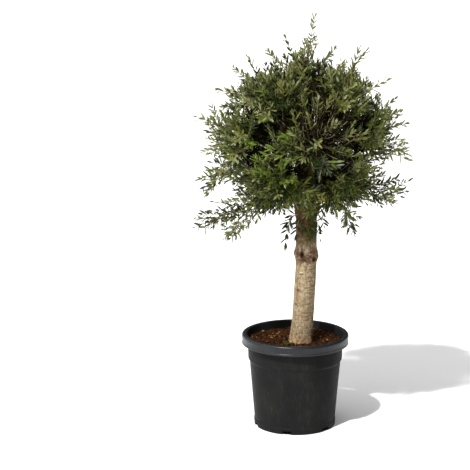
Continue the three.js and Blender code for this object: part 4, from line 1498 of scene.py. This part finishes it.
def grow_inner_sprays(mass, twigs, leaves):
    """Sprays in every direction from the stem, where the part has its dense core"""
    for i in range(INNER_SPRAYS):
        way = direction(i * GOLDEN_ANGLE, degrees(asin(1 - (2 * i + 1) / INNER_SPRAYS)))
        root = mass.stem.point(lerp(*INNER_SPRAY_ROOTS, draw()))
        end = mass.centre + way * (core_radius(mass, way) * INNER_SPRAY_REACH)
        reach = min((end - root).length, lerp(*INNER_SPRAY_LENGTHS, draw()))
        spray_way = (end - root).normalized()
        place_shoot(root, spray_way, reach, twigs, leaves)
        # A second spray starts further out, on a twig of its own that comes from the stem
        fork = root.lerp(end, 0.5)
        if place_shoot(fork, spray_way, reach, twigs, leaves):
            carrier = [root, fork, fork + spray_way * SHOOT_RADIUS]
            # The carrier takes the dark inner wood: painted shade
            twigs.add(*tube(carrier, CARRIER_RADII, SHOOT_SIDES), SHADED_WOOD)


def leaf_materials():
    """The upper side of each tone, and then the underside of each"""
    made = []
    for side, ending, roughness, sheen_share in LEAF_SIDES:
        for name, colours in LEAF_TONES.items():
            sheen = LEAF_SHEENS.get(name, LEAF_SHEEN) * sheen_share
            made.append(new_material(f"leaf_{name}{ending}", colours[side], roughness, sheen)[0])
    return made


def build_masses():
    share_out_twig_ends()
    tones = leaf_materials()
    woods = [new_material(name, *look)[0] for name, look in WOODS.items()]
    for mass in masses:
        twigs, leaves = Batch(), Leaves()
        stem_end = mass.centre + mass.facing * STEM_OVERRUN
        mass.stem = Curve(mass.stem_start, mass.stem_way, stem_end, mass.facing)
        points = [mass.stem_start - mass.stem_way * STEM_SINK]
        points += [mass.stem.point(i / STEM_STEPS) for i in range(STEM_STEPS + 1)]
        radii = np.linspace(mass.stem_radius, STEM_TIP_RADIUS * STEM_END_SHARE, len(points))
        # Each mass's stem takes the dark inner wood: painted shade
        twigs.add(*tube(points, radii, STEM_SIDES), SHADED_WOOD)
        for end in mass.twig_ends:
            grow_twig(mass, end, twigs, leaves)
        grow_inner_sprays(mass, twigs, leaves)
        place = mass.name.removeprefix("foliage_")
        new_object(f"twigs_{place}", twigs.mesh(f"twigs_{place}", woods), [mass.name])
        new_object(f"leaves_{place}", leaves.mesh(f"leaves_{place}", tones), [mass.name])
    build_sprigs(tones, woods)


def build_sprigs(tones, woods):
    """Small leafy shoots on the upper trunk"""
    twigs, leaves = Batch(), Leaves()
    for height, azimuth, length, droop in TRUNK_SPRIGS:
        out = direction(azimuth, 0)
        root = trunk_centre(height) + out * (trunk_radius(height, radians(azimuth)) - SPRIG_SINK)
        middle = root + out * (length * SPRIG_OUT[0]) + UP * (SPRIG_RISE * length)
        end = root + out * (length * SPRIG_OUT[1]) - UP * (length * droop)
        points = bent_line(root, middle, end, TWIG_POINTS)
        twigs.add(*tube(points, np.linspace(*SPRIG_RADII, TWIG_POINTS), SPRIG_SIDES), YOUNG_WOOD)
        add_leaf_pairs(leaves, points, *SPRIG_LEAVES, "deep")
    new_object("sprig_twigs", twigs.mesh("sprig_twigs", woods))
    new_object("sprig_leaves", leaves.mesh("sprig_leaves", tones))


# Floor, light and camera
def build_stage():
    half = FLOOR_SIDE / 2
    corners = [(-half, -half, 0), (half, -half, 0), (half, half, 0), (-half, half, 0)]
    floor_paint = new_material("floor_paint", FLOOR_COLOR, roughness=0.9, specular=0.1)[0]
    floor = add_object("floor", mesh_from("floor", corners, [(0, 1, 2, 3)], [floor_paint]))
    world = bpy.data.worlds.new("surround")
    world.use_nodes = True
    tree = world.node_tree
    way = add_node(tree, "TexCoord").outputs["Generated"]
    facing = add_node(tree, "VectorMath", {0: way, 1: SKY_WAY}, operation="DOT_PRODUCT")
    brightest = SKY_EVEN_STRENGTH + SKY_SIDE_STRENGTH
    strength = remap(facing.outputs["Value"], 0, 1, SKY_EVEN_STRENGTH, brightest)
    background = tree.nodes["Background"]
    background.inputs["Color"].default_value = (1, 1, 1, 1)
    tree.links.new(strength, background.inputs["Strength"])
    # The sky lights the tree from one side, and behind the tree it is plain white
    backdrop = add_node(tree, "Background", {"Color": (1, 1, 1, 1)}).outputs[0]
    seen = add_node(tree, "LightPath").outputs["Is Camera Ray"]
    choice = add_node(tree, "MixShader", {0: seen, 1: background.outputs[0], 2: backdrop})
    tree.links.new(choice.outputs[0], tree.nodes["World Output"].inputs["Surface"])
    bpy.context.scene.world = world
    lamp = bpy.data.lights.new("sun", "SUN")
    lamp.energy = SUN_STRENGTH
    lamp.angle = radians(SUN_ANGLE)
    sun = add_object("sun", lamp)
    sun.rotation_euler = Vector(SUN_WAY).to_track_quat("-Z", "Y").to_euler()
    bpy.context.scene.view_settings.view_transform = "Standard"


def build_camera():
    lens = bpy.data.cameras.new("camera")
    lens.sensor_width = SENSOR_WIDTH_MM
    lens.lens = FOCAL_PIXELS * SENSOR_WIDTH_MM / IMAGE_SIDE
    lens.clip_end = FLOOR_SIDE
    camera = add_object("camera", lens)
    camera.location = CAMERA_PLACE
    camera.rotation_euler = (radians(90 + CAMERA_PITCH), 0, 0)
    bpy.context.scene.camera = camera


build_camera()
build_stage()
build_pot()
build_soil()
build_masses()
build_crumbs()
build_bark()
